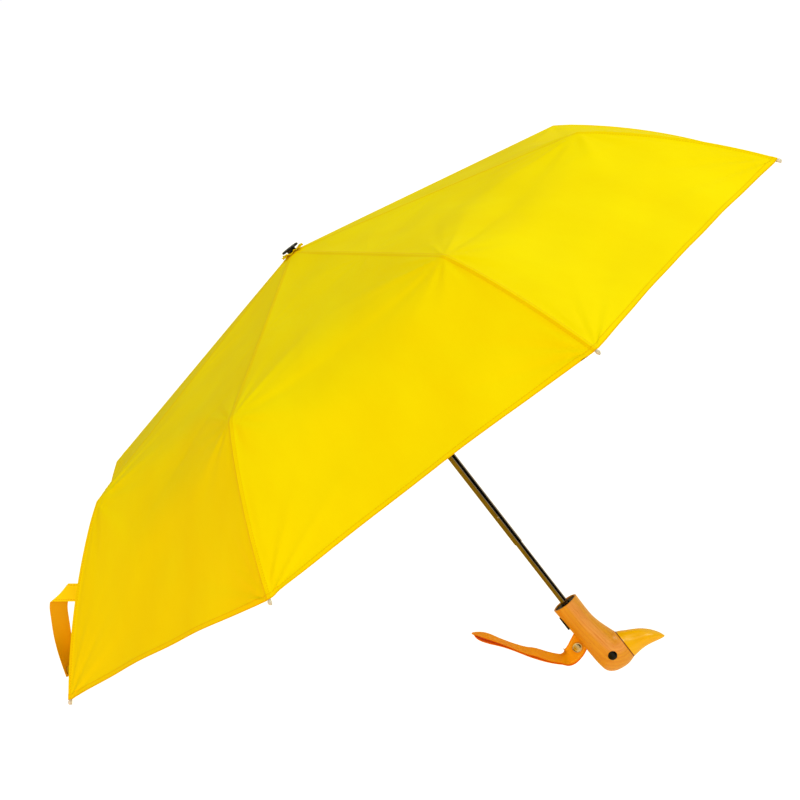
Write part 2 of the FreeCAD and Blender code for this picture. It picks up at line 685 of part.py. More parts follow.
# ---------------------------------------------------------------- tie band of the canopy
BAND_TOP = Vector(411, 0, above(434))
BAND_FOOT = Vector(461, 0, above(352))
BAND_SNAP_ROOM = 0.7


def make_tie_band():
    """Ribbon sewn to the canopy near the hem, standing off it in one arc."""
    span = BAND_FOOT - BAND_TOP
    chord, bulge = span.Length, dim("band_bulge")
    bend = chord ** 2 / (8 * bulge) + bulge / 2
    sweep = 2 * math.degrees(math.asin(chord / 2 / bend))
    outward = Vector(-span.z, 0, span.x) / chord
    centre = (BAND_TOP + BAND_FOOT) / 2 - outward * (bend - bulge)
    middle_angle = math.degrees(math.atan2(outward.z, outward.x))
    half = dim("band_thickness") / 2
    turn = Rotation(Z_AXIS, dim("band_azimuth"))
    place = Placement(turn.multVec(centre + Vector(0, dim("band_width") / 2, 0)),
                      turn * Rotation(Y_AXIS, -(middle_angle - sweep / 2)) * Rotation(X_AXIS, 90))
    rounds = []
    for number, radius in enumerate((bend + half, bend - half)):
        sector = cylinder(f"band_sector_{number}", Vector(), Height="<band_width>")
        sector.Radius, sector.Angle = radius, sweep
        rounds.append(sector)
    band = cut("band_solid", *rounds)
    band.Placement = place
    return band, turn, centre, bend, outward


band, band_turn, band_centre, band_bend, band_outward = make_tie_band()
subpart(band, "tie_band")
snap_centre = band_centre + band_outward * band_bend
snap_turn = Rotation(Z_AXIS, band_outward)
subpart(snap_button("band_snap_pair", band_turn.multVec(snap_centre), band_turn * snap_turn,
                    dim("band_thickness") + BAND_SNAP_ROOM), "tie_band_snap")


# ---------------------------------------------------------------- checks and export
doc.recompute()
failed = [made.Name for made in doc.Objects if {"Invalid", "Error"} & set(made.State)]
if failed:
    raise RuntimeError("objects that did not compute: " + ", ".join(failed))
for made in subparts:
    if made.Shape.isNull() or not made.Shape.isValid() or made.Shape.Volume <= 0:
        raise RuntimeError("bad shape: " + made.Label)

os.makedirs("parts", exist_ok=True)
for made in subparts:
    made.Shape.exportStep(os.path.join("parts", made.Label + ".step"))
print(len(subparts), "sub-parts")
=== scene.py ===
"""Children's folding umbrella with a duck-head handle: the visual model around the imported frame.

Everything is in metres in the row frame: +Z up the shaft, +X the way the beak points, the origin
on the shaft's axis inside the grip. Heights given with up() are millimetres above the lowest point
of the handle.
"""
import math

import bmesh
import bpy
import numpy as np
from mathutils import Matrix, Vector


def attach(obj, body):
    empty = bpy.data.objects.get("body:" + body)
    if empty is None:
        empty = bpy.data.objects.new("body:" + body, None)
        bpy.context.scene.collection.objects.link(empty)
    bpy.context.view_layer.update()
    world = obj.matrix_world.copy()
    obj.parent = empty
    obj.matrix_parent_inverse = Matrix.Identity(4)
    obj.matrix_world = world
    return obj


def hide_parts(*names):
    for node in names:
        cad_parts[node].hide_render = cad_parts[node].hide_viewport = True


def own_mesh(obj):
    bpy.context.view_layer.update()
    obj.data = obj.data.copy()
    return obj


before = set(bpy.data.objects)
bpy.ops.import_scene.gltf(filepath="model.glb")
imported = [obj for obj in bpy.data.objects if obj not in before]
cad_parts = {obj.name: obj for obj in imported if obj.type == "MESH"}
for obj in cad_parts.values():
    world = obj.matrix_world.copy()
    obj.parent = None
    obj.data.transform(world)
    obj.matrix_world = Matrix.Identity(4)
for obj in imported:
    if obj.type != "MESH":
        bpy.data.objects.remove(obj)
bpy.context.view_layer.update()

MM = 0.001
GRIP_HEIGHT = 60.0


def up(height):
    """Millimetres above the handle's lowest point, as a z of the row frame in metres."""
    return (height - GRIP_HEIGHT) * MM


def link(name, data):
    """A new object in the scene around a mesh, light or camera."""
    made = bpy.data.objects.new(name, data)
    bpy.context.scene.collection.objects.link(made)
    return made


def unit(vectors):
    return vectors / np.linalg.norm(vectors, axis=-1, keepdims=True)


def travelled(points):
    """Distance along a row of points, from 0 at the first."""
    return np.concatenate([[0], np.cumsum(np.linalg.norm(np.diff(points, axis=0), axis=1))])


# ---- camera
def make_camera():
    """A long lens from the front, a little above, rolled so the shaft leans to the left."""
    position = Vector((-0.0063, -2.609, 0.6545))
    pitch, roll = math.radians(-7.30), math.radians(-37.85)
    forward = Vector((0, math.cos(pitch), math.sin(pitch)))
    level_right = Vector((1, 0, 0))
    level_up = level_right.cross(forward)
    right = level_right * math.cos(roll) + level_up * math.sin(roll)
    top = -level_right * math.sin(roll) + level_up * math.cos(roll)
    turn = Matrix((right, top, -forward)).transposed().to_4x4()
    data = bpy.data.cameras.new("camera")
    data.lens, data.sensor_width = 111.5, 36.0
    data.clip_start, data.clip_end = 0.05, 100.0
    camera = link("camera", data)
    camera.matrix_world = Matrix.Translation(position) @ turn
    bpy.context.scene.camera = camera


make_camera()


# ---- materials
THREADS_PER_METRE = 2600.0
RIBBON_RIB_PITCH = 0.00085


def linear(red, green, blue):
    """An 8-bit screen colour as linear values."""
    values = [c / 255 for c in (red, green, blue)]
    return tuple(v / 12.92 if v <= 0.04045 else ((v + 0.055) / 1.055) ** 2.4 for v in values) + (1.0,)


class Graph:
    """Short forms for building a node material around one Principled shader."""

    def __init__(self, name, **sockets):
        self.material = bpy.data.materials.new(name)
        self.material.use_nodes = True
        self.nodes = self.material.node_tree.nodes
        self.links = self.material.node_tree.links
        self.shader = self.nodes["Principled BSDF"]
        self.finish(**sockets)

    def put(self, target, value):
        if isinstance(value, bpy.types.NodeSocket):
            self.links.new(value, target)
        elif value is not None:
            target.default_value = value

    def new(self, kind, **settings):
        made = self.nodes.new("ShaderNode" + kind)
        for key, value in settings.items():
            setattr(made, key, value)
        return made

    def node(self, kind, output=0, settings=(), **inputs):
        made = self.new(kind, **dict(settings))
        for key, value in inputs.items():
            self.put(made.inputs[key.replace("_", " ")], value)
        return made.outputs[output]

    def math(self, operation, first, second=None):
        made = self.new("Math", operation=operation)
        for socket, value in zip(made.inputs, (first, second)):
            self.put(socket, value)
        return made.outputs[0]

    def scaled(self, vector, x, y, z):
        return self.node("Mapping", Vector=vector, Scale=(x, y, z))

    def noise(self, vector, scale, detail=3.0, roughness=0.5):
        return self.node("TexNoise", Vector=vector, Scale=scale, Detail=detail, Roughness=roughness)

    def ramp(self, value, *stops):
        made = self.new("ValToRGB")
        self.put(made.inputs[0], value)
        for element, (position, colour) in zip(made.color_ramp.elements, stops):
            element.position = position
            element.color = colour
        return made.outputs[0]

    def patches(self, vector, scale, detail, dark, light, start=0.3, end=0.7):
        """A colour that drifts between two shades."""
        return self.ramp(self.noise(vector, scale, detail), (start, dark), (end, light))

    def mix(self, factor, first, second):
        made = self.new("Mix", data_type="RGBA")
        for socket, value in ((0, factor), (6, first), (7, second)):
            self.put(made.inputs[socket], value)
        return made.outputs[2]

    def tint(self, base, mask, strength, colour):
        """Base drawn towards a colour under a mask, by up to strength."""
        return self.mix(self.math("MULTIPLY", mask, strength), base, colour)

    def raised(self, least, pattern, spread):
        """A number that a pattern raises from least by up to spread."""
        return self.math("ADD", least, self.math("MULTIPLY", pattern, spread))

    def band(self, value, centre, half, soft):
        """1 within half of centre, falling to 0 over soft."""
        away = self.math("ABSOLUTE", self.math("SUBTRACT", value, centre))
        return self.node("MapRange", settings={"interpolation_type": "SMOOTHSTEP"}, Value=away,
                         From_Min=half, From_Max=half + soft, To_Min=1.0, To_Max=0.0)

    def bump(self, height, distance, strength=1.0, after=None):
        return self.node("Bump", Height=height, Distance=distance, Strength=strength, Normal=after)

    def finish(self, **inputs):
        for key, value in inputs.items():
            self.put(self.shader.inputs[key.replace("_", " ")], value)
        return self.material

    def place(self):
        return self.new("TexCoord").outputs["Object"]

    def uv(self, name):
        return self.new("UVMap", uv_map=name).outputs[0]

    def attribute(self, name, output=2):
        return self.new("Attribute", attribute_name=name).outputs[output]

    def split(self, vector):
        made = self.new("SeparateXYZ")
        self.put(made.inputs[0], vector)
        return made.outputs


def weave_bump(graph, cloth):
    """Plain weave: warp and weft waves out of step."""
    x, y, _ = graph.split(cloth)
    across = graph.math("SINE", graph.math("MULTIPLY", x, THREADS_PER_METRE * math.pi))
    along = graph.math("SINE", graph.math("MULTIPLY", y, THREADS_PER_METRE * math.pi))
    return graph.bump(graph.math("MULTIPLY", across, along), 0.00004, 0.5)


def stitches(graph, across, along, offset, pitch=0.0028, half=0.00035):
    """A dashed line of thread at a distance across, with dashes of the given pitch along."""
    line = graph.band(across, offset, half, 0.0002)
    phase = graph.math("FRACT", graph.math("DIVIDE", along, pitch))
    dash = graph.band(phase, 0.5, 0.3, 0.1)
    return graph.math("MULTIPLY", line, dash)


def canopy_material():
    """Bright yellow polyester: plain weave, faint shade changes, hem and seams in thread."""
    g = Graph("canopy_fabric", Sheen_Weight=0.04, Sheen_Roughness=0.4, Sheen_Tint=linear(255, 214, 30),
              Specular_IOR_Level=0.03, Specular_Tint=linear(255, 220, 60))
    cloth, seam = g.uv("cloth"), g.uv("seam")
    from_rib, from_hem, _ = g.split(seam)
    across, along, _ = g.split(cloth)
    fine = g.noise(g.scaled(cloth, 1, 0.2, 1), 420.0, 2.0)
    base = g.patches(g.scaled(cloth, 1, 0.45, 1), 14.0, 3.0, linear(245, 225, 0), linear(249, 234, 2))
    hem = g.band(from_hem, 0.0, 0.0052, 0.0008)
    edge = g.band(from_hem, 0.0, 0.0006, 0.0006)
    rib_line = g.band(from_rib, 0.0012, 0.0002, 0.0009)
    thread = g.math("MAXIMUM", stitches(g, from_hem, across, 0.0050),
                    stitches(g, from_rib, along, 0.0026))
    for mask, strength, colour in ((fine, 0.1, (240, 200, 0)), (hem, 0.16, (240, 186, 0)),
                                   (edge, 0.5, (226, 158, 0)), (rib_line, 0.25, (230, 160, 0)),
                                   (thread, 0.4, (234, 168, 0))):
        base = g.tint(base, mask, strength, linear(*colour))
    normal = g.bump(thread, 0.00025, 0.6, weave_bump(g, cloth))
    normal = g.bump(g.noise(cloth, 60.0, 3.0), 0.0004, 0.2, normal)
    return g.finish(Base_Color=base, Roughness=g.raised(0.52, fine, 0.14), Normal=normal)


def ribbon_material():
    """Orange-yellow narrow ribbon with cross ribs and a firmer selvedge. Its weak glow stands in
    for the light that comes through the cloth."""
    g = Graph("band_fabric", Roughness=0.6, Sheen_Weight=0.06, Sheen_Roughness=0.45,
              Sheen_Tint=linear(255, 180, 60), Specular_IOR_Level=0.1,
              Emission_Color=linear(206, 84, 0), Emission_Strength=0.22)
    cloth, seam = g.uv("cloth"), g.uv("seam")
    _, along, _ = g.split(cloth)
    from_edge, _, _ = g.split(seam)
    ribs = g.math("SINE", g.math("MULTIPLY", along, 2 * math.pi / RIBBON_RIB_PITCH))
    outer = g.patches(cloth, 55.0, 3.0, linear(222, 150, 0), linear(230, 166, 4))
    # painted shade: the shell's top layer gets a darker, redder orange and the lower layer keeps the lit
    # colour, though the ribbon is the same on both faces
    base = g.mix(g.attribute("under"), linear(222, 100, 2), outer)
    # painted shade: darker orange laid into the troughs between the cross ribs
    base = g.tint(base, g.raised(0.5, ribs, -0.5), 0.22, linear(196, 104, 2))
    base = g.tint(base, g.band(from_edge, 0.0, 0.0009, 0.0004), 0.35, linear(206, 118, 4))
    thread = stitches(g, from_edge, along, 0.0022)
    base = g.tint(base, thread, 0.4, linear(250, 196, 60))
    normal = g.bump(thread, 0.0002, 0.6, g.bump(ribs, 0.00012, 0.7))
    return g.finish(Base_Color=base, Normal=normal)


def band_material():
    """The canopy's own yellow cloth as a folded and topstitched band."""
    g = Graph("tie_band_fabric", Roughness=0.58, Sheen_Weight=0.05, Sheen_Roughness=0.4,
              Sheen_Tint=linear(255, 200, 40), Specular_IOR_Level=0.1)
    cloth, seam = g.uv("cloth"), g.uv("seam")
    _, along, _ = g.split(cloth)
    from_edge, _, _ = g.split(seam)
    face = g.patches(cloth, 60.0, 3.0, linear(250, 226, 0), linear(255, 236, 4))
    # painted shade: the band's lower layer gets a deeper orange, while the top layer keeps the lit yellow of
    # the same cloth
    base = g.mix(g.attribute("under"), face, linear(226, 168, 0))
    thread = stitches(g, from_edge, along, 0.0018)
    base = g.tint(base, thread, 0.5, linear(228, 158, 0))
    return g.finish(Base_Color=base, Normal=g.bump(thread, 0.0002, 0.7, weave_bump(g, cloth)))


def wood_material():
    """Varnished light wood: growth rings and pores that follow the handle's bend."""
    g = Graph("wood", Coat_Weight=0.3, Coat_Roughness=0.18, Specular_IOR_Level=0.25)
    grain = g.attribute("grain", 1)
    wobble = g.noise(g.scaled(grain, 12, 60, 60), 1.0, 2.0)
    shift = g.new("VectorMath", operation="ADD")
    g.put(shift.inputs[0], g.scaled(grain, 9, 150, 150))
    g.put(shift.inputs[1], g.node("CombineXYZ", X=wobble, Y=wobble, Z=wobble))
    rings = g.node("TexWave", 1, {"wave_type": "BANDS", "bands_direction": "Y"}, Scale=0.55,
                   Vector=shift.outputs[0], Distortion=5.0, Detail=2.0, Detail_Scale=1.2)
    streak = g.noise(g.scaled(grain, 22, 620, 620), 1.0, 4.0, 0.6)
    pores = g.noise(g.scaled(grain, 130, 2600, 2600), 1.0, 2.0)
    base = g.patches(g.scaled(grain, 25, 45, 45), 1.0, 1.0, linear(212, 150, 12), linear(220, 160, 36),
                     0.35, 0.65)
    _, sideways, _ = g.split(grain)
    # painted highlight: a paler pinkish band running down one side of the handle, about 4.5 mm off the bent
    # middle line
    base = g.tint(base, g.band(sideways, -0.0045, 0.002, 0.006), 0.6, linear(236, 172, 104))
    base = g.tint(base, rings, 0.22, linear(202, 124, 18))
    for pattern, start, end, most, colour in ((streak, 0.45, 0.75, 0.5, (200, 108, 14)),
                                              (pores, 0.62, 0.72, 0.45, (160, 78, 8))):
        mask = g.ramp(pattern, (start, (0, 0, 0, 1)), (end, (most, most, most, 1)))
        base = g.mix(mask, base, linear(*colour))
    base = g.mix(g.band(g.attribute("from_seam"), 0.0, 0.00035, 0.0006), base, linear(118, 52, 8))
    normal = g.bump(streak, 0.00008, 0.4, g.bump(pores, 0.00006, 0.5))
    return g.finish(Base_Color=base, Roughness=g.raised(0.27, streak, 0.16), Normal=normal)


def beak_material():
    """Thick glossy yellow-orange lacquer with a faint orange-peel skin."""
    g = Graph("beak_lacquer", Coat_Weight=0.16, Coat_Roughness=0.07, Coat_Tint=linear(255, 226, 150),
              Specular_IOR_Level=0.25)
    place = g.place()
    base = g.patches(place, 45.0, 2.0, linear(230, 180, 0), linear(234, 190, 4))
    base = g.mix(g.band(g.attribute("from_seam"), 0.0, 0.0003, 0.0005), base, linear(150, 78, 6))
    normal = g.bump(g.noise(place, 900.0, 2.0), 0.00003, 0.25)
    return g.finish(Base_Color=base, Roughness=g.raised(0.2, g.noise(place, 160.0), 0.08), Normal=normal)


def metal_material(name, dark, light, roughness, *streaks):
    """Plated metal with drawn streaks along the part and faint smudges."""
    g = Graph(name, Metallic=1.0)
    place = g.place()
    drawn = g.noise(g.scaled(place, *streaks), 1.0, 3.0, 0.6)
    base = g.patches(place, 70.0, 3.0, linear(*dark), linear(*light))
    return g.finish(Base_Color=base, Roughness=g.raised(roughness, drawn, 0.1),
                    Normal=g.bump(drawn, 0.00002, 0.3))


def plastic_material(name, dark, light, roughness, grain_scale, coat=0.0):
    """Moulded plastic: a fine texture, slight gloss changes and paler worn spots."""
    g = Graph(name, Coat_Weight=coat, Coat_Roughness=0.08, Specular_IOR_Level=0.2)
    place = g.place()
    base = g.patches(place, 90.0, 3.0, linear(*dark), linear(*light), 0.35, 0.75)
    return g.finish(Base_Color=base, Roughness=g.raised(roughness, g.noise(place, 300.0, 2.0), 0.1),
                    Normal=g.bump(g.noise(place, grain_scale, 2.0), 0.00003, 0.4))


def bead_material():
    """Milky clear plastic of the rib tips."""
    g = Graph("clear_plastic", Transmission_Weight=0.35, IOR=1.49, Specular_IOR_Level=0.5)
    place = g.place()
    base = g.patches(place, 160.0, 2.0, linear(236, 232, 214), linear(250, 248, 240))
    return g.finish(Base_Color=base, Roughness=g.raised(0.18, g.noise(place, 400.0, 2.0), 0.12),
                    Normal=g.bump(g.noise(place, 700.0), 0.00003, 0.3))


MATERIALS = {"canopy_fabric": canopy_material(), "band_fabric": ribbon_material(),
             "tie_band_fabric": band_material(), "wood": wood_material(),
             "beak_lacquer": beak_material(), "clear_plastic": bead_material()}
for name, *look in (("gloss_black", (3, 3, 3), (9, 8, 8), 0.16, 700.0, 0.12),
                    ("black_plastic", (8, 8, 8), (20, 18, 17), 0.36, 1800.0)):
    MATERIALS[name] = plastic_material(name, *look)
for name, *look in (("shaft_chrome", (116, 112, 106), (142, 138, 132), 0.1, 1500, 1500, 12),
                    ("spring_steel", (150, 150, 150), (188, 188, 186), 0.25, 900, 900, 900),
                    ("rib_steel", (150, 150, 148), (196, 195, 190), 0.24, 420, 420, 900),
                    ("snap_brass", (196, 172, 116), (240, 226, 186), 0.16, 900, 900, 900)):
    MATERIALS[name] = metal_material(name, *look)


# ---- mesh helpers
def add_object(name, vertices, faces, material, body, angle=None):
    """A mesh object from vertices and faces, on a body, with one material."""
    mesh = bpy.data.meshes.new(name)
    mesh.from_pydata([tuple(v) for v in vertices], [], [tuple(int(i) for i in f) for f in faces])
    mesh.validate()
    mesh.update()
    return add_mesh(name, mesh, material, body, angle)


def add_mesh(name, mesh, material, body, angle=None):
    """A mesh as a smooth-shaded piece on a body, with sharp edges past the given angle."""
    mesh.name = name
    mesh.materials.clear()
    mesh.materials.append(MATERIALS[material])
    mesh.polygons.foreach_set("use_smooth", [True] * len(mesh.polygons))
    if angle is not None:
        mesh.set_sharp_from_angle(angle=math.radians(angle))
    made = link(name, mesh)
    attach(made, body)
    return made


def face_outward(mesh):
    bm = bmesh.new()
    bm.from_mesh(mesh)
    bmesh.ops.recalc_face_normals(bm, faces=bm.faces)
    bm.to_mesh(mesh)
    bm.free()


def vertex_places(mesh):
    return np.array([v.co for v in mesh.vertices])


def corner_vertices(mesh):
    """The vertex at each face corner."""
    corner = np.empty(len(mesh.loops), int)
    mesh.loops.foreach_get("vertex_index", corner)
    return corner


def store_uv(mesh, name, values):
    """One pair of values for each vertex, as a UV layer."""
    pairs = values[corner_vertices(mesh)]
    mesh.uv_layers.new(name=name).data.foreach_set("uv", pairs.ravel())


def smooth_curve(points, count):
    """Points spaced evenly along a Catmull-Rom curve through the given rows of numbers."""
    steps_per_span = 24
    points = np.asarray(points, float)
    padded = np.vstack([2 * points[0] - points[1], points, 2 * points[-1] - points[-2]])
    dense = []
    for start in range(len(points) - 1):
        p0, p1, p2, p3 = padded[start:start + 4]
        t = np.linspace(0, 1, steps_per_span, endpoint=False)[:, None]
        dense.append(0.5 * (2 * p1 + (p2 - p0) * t + (2 * p0 - 5 * p1 + 4 * p2 - p3) * t ** 2
                            + (3 * p1 - p0 - 3 * p2 + p3) * t ** 3))
    dense = np.vstack(dense + [points[-1:]])
    travel = travelled(dense)
    wanted = np.linspace(0, travel[-1], count)
    return np.column_stack([np.interp(wanted, travel, column) for column in dense.T])


def grid_faces(rows, columns, start=0, wrap=False):
    """Quads over a grid of vertices stored row by row."""
    last = columns if wrap else columns - 1
    row, column = np.meshgrid(np.arange(rows - 1), np.arange(last), indexing="ij")
    following = (column + 1) % columns
    a = start + row * columns + column
    b = start + row * columns + following
    return np.stack([a, b, b + columns, a + columns], -1).reshape(-1, 4)


def lathe(name, profile, centre, axis, material, body, segments=64):
    """A turned solid: profile is (radius, height) pairs from one point on the axis to another."""
    turn = Vector((0, 0, 1)).rotation_difference(Vector(axis)).to_matrix()
    inner = [pair for pair in profile if pair[0] > 0]
    vertices = [Vector((0, 0, profile[0][1]))]
    for radius, height in inner:
        for step in range(segments):
            turned = 2 * math.pi * step / segments
            vertices.append(Vector((radius * math.cos(turned), radius * math.sin(turned), height)))
    vertices.append(Vector((0, 0, profile[-1][1])))
    faces = [(0, 1 + (i + 1) % segments, 1 + i) for i in range(segments)]
    faces += [tuple(f) for f in grid_faces(len(inner), segments, 1, wrap=True)]
    last = len(vertices) - 1
    base = last - segments
    faces += [(last, base + i, base + (i + 1) % segments) for i in range(segments)]
    placed = [turn @ (v * MM) + Vector(centre) for v in vertices]
    made = add_object(name, placed, faces, material, body, angle=35)
    face_outward(made.data)
    return made


# ---- canopy
RIBS = 8
RIB_PHASE = math.radians(19.2)
RIB_STEP = 2 * math.pi / RIBS
APEX_Z = up(575.0)
HOLE_RADIUS, ELBOW_RADIUS, KNEE_RADIUS, HEM_RADIUS = 0.0046, 0.1708, 0.330, 0.478
KNEE_Z, HEM_Z = up(575.0 - 72.7), up(575.0 - 209.0)
HEM_BOW = 0.007
HEM_HOLLOW = 0.0042
CLOTH, HEM_CLOTH = 0.0003, 0.0005
HEM_FOLD = 0.007
INNER_SLOPE, OUTER_SLOPE = 12.4, 42.6
KNEE_KINK = 29.6
KNEE_CURVE = 0.082
INNER_SAG, OUTER_SAG = 0.0022, 0.0048
LINKS = ("top_rib", "middle_rib", "outer_rib")
CREASES, SLOW_WAVES = 5, 6


def rib_azimuth(number):
    return RIB_PHASE + RIB_STEP * number


def rib_profile():
    """Radius and height of the cloth along a rib, ring by ring, with the ring borders' rows."""
    slope = (APEX_Z - KNEE_Z) / KNEE_RADIUS
    first = np.linspace(HOLE_RADIUS, ELBOW_RADIUS, 37)
    second = np.linspace(ELBOW_RADIUS, KNEE_RADIUS, 37)[1:]
    radii = np.concatenate([first, second])
    heights = APEX_Z - slope * radii
    run, fall = HEM_RADIUS - KNEE_RADIUS, KNEE_Z - HEM_Z
    length = math.hypot(run, fall)
    near_hem = 1 - np.array([9.0, 7.6, 7.0, 6.4, 5.2, 4.2, 3.0, 1.8, 0.9, 0.3, 0.0]) * MM / length
    share = np.concatenate([np.linspace(0, near_hem[0], 46)[1:-1], near_hem])
    lift = HEM_BOW * 4 * share * (1 - share)
    radii = np.concatenate([radii, KNEE_RADIUS + run * share + lift * fall / length])
    heights = np.concatenate([heights, KNEE_Z - fall * share + lift * run / length])
    travel = np.concatenate([[0], np.cumsum(np.hypot(np.diff(radii), np.diff(heights)))])
    return radii, heights, travel, (0, len(first) - 1, len(first) + len(second) - 1, len(radii) - 1)


PROFILE_R, PROFILE_Z, TRAVEL, RING_ROWS = rib_profile()
HALF_COLUMNS = 30


def bell(value, width):
    return np.exp(-(value / width) ** 2)


def gore(number, random):
    """Points of one whole gore, from rib number to the next, with its cloth coordinates."""
    near = np.linspace(0, 1, HALF_COLUMNS + 1) ** 1.6
    share = np.concatenate([near / 2, 1 - near[::-1][1:] / 2])
    inward = np.concatenate([near, near[::-1][1:]])
    knee_travel, end_travel = TRAVEL[RING_ROWS[2]], TRAVEL[-1]
    hem_travel = end_travel - knee_travel
    start, end = rib_azimuth(number), rib_azimuth(number + 1)

    # the hem is cut slightly hollow, so rows slide up the profile towards the middle
    weight = 1 - (1 - inward) ** 2
    past_knee = np.clip((TRAVEL - knee_travel) / hem_travel, 0, None)
    travel = TRAVEL[:, None] - HEM_HOLLOW * past_knee[:, None] ** 2 * weight[None, :]
    radius = np.interp(travel, TRAVEL, PROFILE_R)
    height = np.interp(travel, TRAVEL, PROFILE_Z)
    first = np.stack([radius * math.cos(start), radius * math.sin(start), height], -1)
    second = np.stack([radius * math.cos(end), radius * math.sin(end), height], -1)
    points = first + (second - first) * share[None, :, None]

    half_width = radius * math.sin(RIB_STEP / 2)
    from_rib = inward[None, :] * half_width
    across = (share[None, :] - 0.5) * 2 * half_width
    left = share[None, :] < 0.5

    # knee: a crease at the rib that opens into a wide curve in the middle of the gore
    kink = math.tan(math.radians(KNEE_KINK))
    reach = 1e-5 + KNEE_CURVE * weight[None, :] ** 0.9
    beyond = np.clip(reach - np.abs(travel - knee_travel), 0, None)
    offset = -kink * beyond ** 2 / (4 * reach)
    outer = np.clip((travel - knee_travel) / hem_travel, 0, 1)
    inner = np.clip(travel / knee_travel, 0, 1)
    offset -= OUTER_SAG * weight[None, :] * 4 * outer * (1 - outer)
    offset -= INNER_SAG * weight[None, :] * np.sin(math.pi * inner) ** 2

    # the rod or channel under the cloth lifts a ridge, with a shallow trough beside it
    clear = np.clip(half_width / 0.03, 0, 1)
    outer_link = np.clip((travel - knee_travel) / 0.02, 0, 1)
    ridge, trough = 0.0002 + 0.0009 * outer_link, 0.0005 * outer_link
    offset += clear * (ridge * bell(from_rib, 0.0021) - trough * bell(from_rib - 0.0062, 0.003))

    # wrinkles fan out from the corners where the cloth is tied: knees and tips
    free = 1 - bell(from_rib, 0.006)
    for travel_at, pull, fade, spread in ((knee_travel, 0.00115, 0.060, 15.0),
                                          (end_travel, 0.0012, 0.055, 11.0),
                                          (knee_travel * 0.52, 0.0004, 0.045, 18.0)):
        along = travel - travel_at
        distance = np.hypot(along, from_rib)
        angle = np.degrees(np.arctan2(along, from_rib))
        phase = np.where(left, random.uniform(0, 6.28), random.uniform(0, 6.28))
        skew = np.where(left, random.uniform(0.8, 1.25), random.uniform(0.8, 1.25))
        folds = np.sin(angle / spread * 2.4 * skew + phase) + 0.5 * np.sin(angle / spread * 5.1 + phase)
        start_up = 1 - bell(distance, 0.012)
        offset += pull * folds * np.exp(-distance / fade) * free * start_up * (1 - 0.5 * inward[None, :])

    # a few long soft creases from being folded away, and slow unevenness in the weave's tension
    for _ in range(CREASES):
        x0, x1 = random.uniform(-0.5, 0.5, 2) * 2 * half_width[-1].max()
        y0, y1 = random.uniform(0.25, 1.0, 2) * end_travel
        if abs(y1 - y0) < 0.08:
            y1 = y0 + 0.12
        slope = (x1 - x0) / (y1 - y0)
        away = (across - x0 - slope * (travel - y0)) / math.hypot(1, slope)
        middle = (travel - (y0 + y1) / 2) / abs(y1 - y0)
        depth = random.uniform(0.25, 0.5) * MM * random.choice([-1, 1])
        offset += depth * bell(away, random.uniform(0.004, 0.009)) * bell(middle, 0.55) * free
    for _ in range(SLOW_WAVES):
        direction = random.uniform(0, math.pi)
        wave = random.uniform(0.06, 0.13)
        phase = random.uniform(0, 6.28)
        slow = np.sin((across * math.cos(direction) + travel * math.sin(direction)) * 6.28 / wave + phase)
        offset += 0.00032 * slow * weight[None, :]

    # the folded hem stands a little proud
    from_hem = (end_travel - TRAVEL)[:, None] + 0 * travel
    offset += 0.00022 * np.clip((HEM_FOLD - from_hem) / 0.0012, 0, 1)

    tilt = np.interp(travel, [0, knee_travel - 0.04, knee_travel + 0.04, end_travel],
                     np.radians([INNER_SLOPE, INNER_SLOPE, OUTER_SLOPE, OUTER_SLOPE]))
    azimuth = start + RIB_STEP * share[None, :]
    normal = np.stack([np.sin(tilt) * np.cos(azimuth), np.sin(tilt) * np.sin(azimuth),
                       np.cos(tilt)], -1)
    points = points + normal * offset[..., None]
    cloth = np.stack([across, travel], -1)
    seam = np.stack([from_rib, from_hem], -1)
    return points, cloth, seam


def surface_normals(points):
    along = np.gradient(points, axis=0)
    across = np.gradient(points, axis=1)
    normals = unit(np.cross(along, across))
    return normals * np.sign(normals[..., 2:3])


def make_gores():
    """All gores, with the normals on each shared rib line averaged between its two gores."""
    gores = []
    for number in range(RIBS):
        points, cloth, seam = gore(number, np.random.default_rng(40 + number))
        gores.append([points, surface_normals(points), cloth, seam])
    for number in range(RIBS):
        before, after = gores[number - 1], gores[number]
        shared = unit(before[1][:, -1] + after[1][:, 0])
        before[1][:, -1] = shared
        after[1][:, 0] = shared
    return gores


def cloth_shell(name, points, normals, cloth, seam, thickness, material, body):
    """A closed thin shell under a grid of points, shaded with the given normals."""
    rows, columns = points.shape[:2]
    count = rows * columns
    low = points - normals * thickness[..., None]
    vertices = np.concatenate([points.reshape(-1, 3), low.reshape(-1, 3)])
    flat_normals = normals.reshape(-1, 3)
    top = grid_faces(rows, columns)
    if np.dot(np.cross(points[0, 1] - points[0, 0], points[1, 0] - points[0, 0]),
              normals[0, 0]) < 0:
        top = top[:, ::-1]
    bottom = top[:, ::-1] + count
    border = np.concatenate([np.arange(columns), np.arange(1, rows) * columns + columns - 1,
                             (rows - 1) * columns + np.arange(columns - 2, -1, -1),
                             np.arange(rows - 2, 0, -1) * columns])
    after = np.roll(border, -1)
    rim = np.stack([border, after, after + count, border + count], -1)
    first = vertices[rim[0, 0]]
    facing = np.cross(vertices[rim[0, 1]] - first, vertices[rim[0, 3]] - first)
    if np.dot(facing, first - points.reshape(-1, 3).mean(axis=0)) < 0:
        rim = rim[:, ::-1]
    made = add_object(name, vertices, np.concatenate([top, bottom, rim]), material, body)
    mesh = made.data
    corner = corner_vertices(mesh)
    for layer, values in (("cloth", cloth), ("seam", seam)):
        store_uv(mesh, layer, np.tile(values.reshape(-1, 2), (2, 1)))
    shading = np.zeros((len(corner), 3))
    upper = len(top) * 4
    shading[:upper] = flat_normals[corner[:upper]]
    shading[upper:2 * upper] = -flat_normals[corner[upper:2 * upper] - count]
    mesh.normals_split_custom_set(shading.tolist())
    under = np.repeat([0.0, 1.0], count)
    mesh.attributes.new("under", "FLOAT", "POINT").data.foreach_set("value", under)
    return made


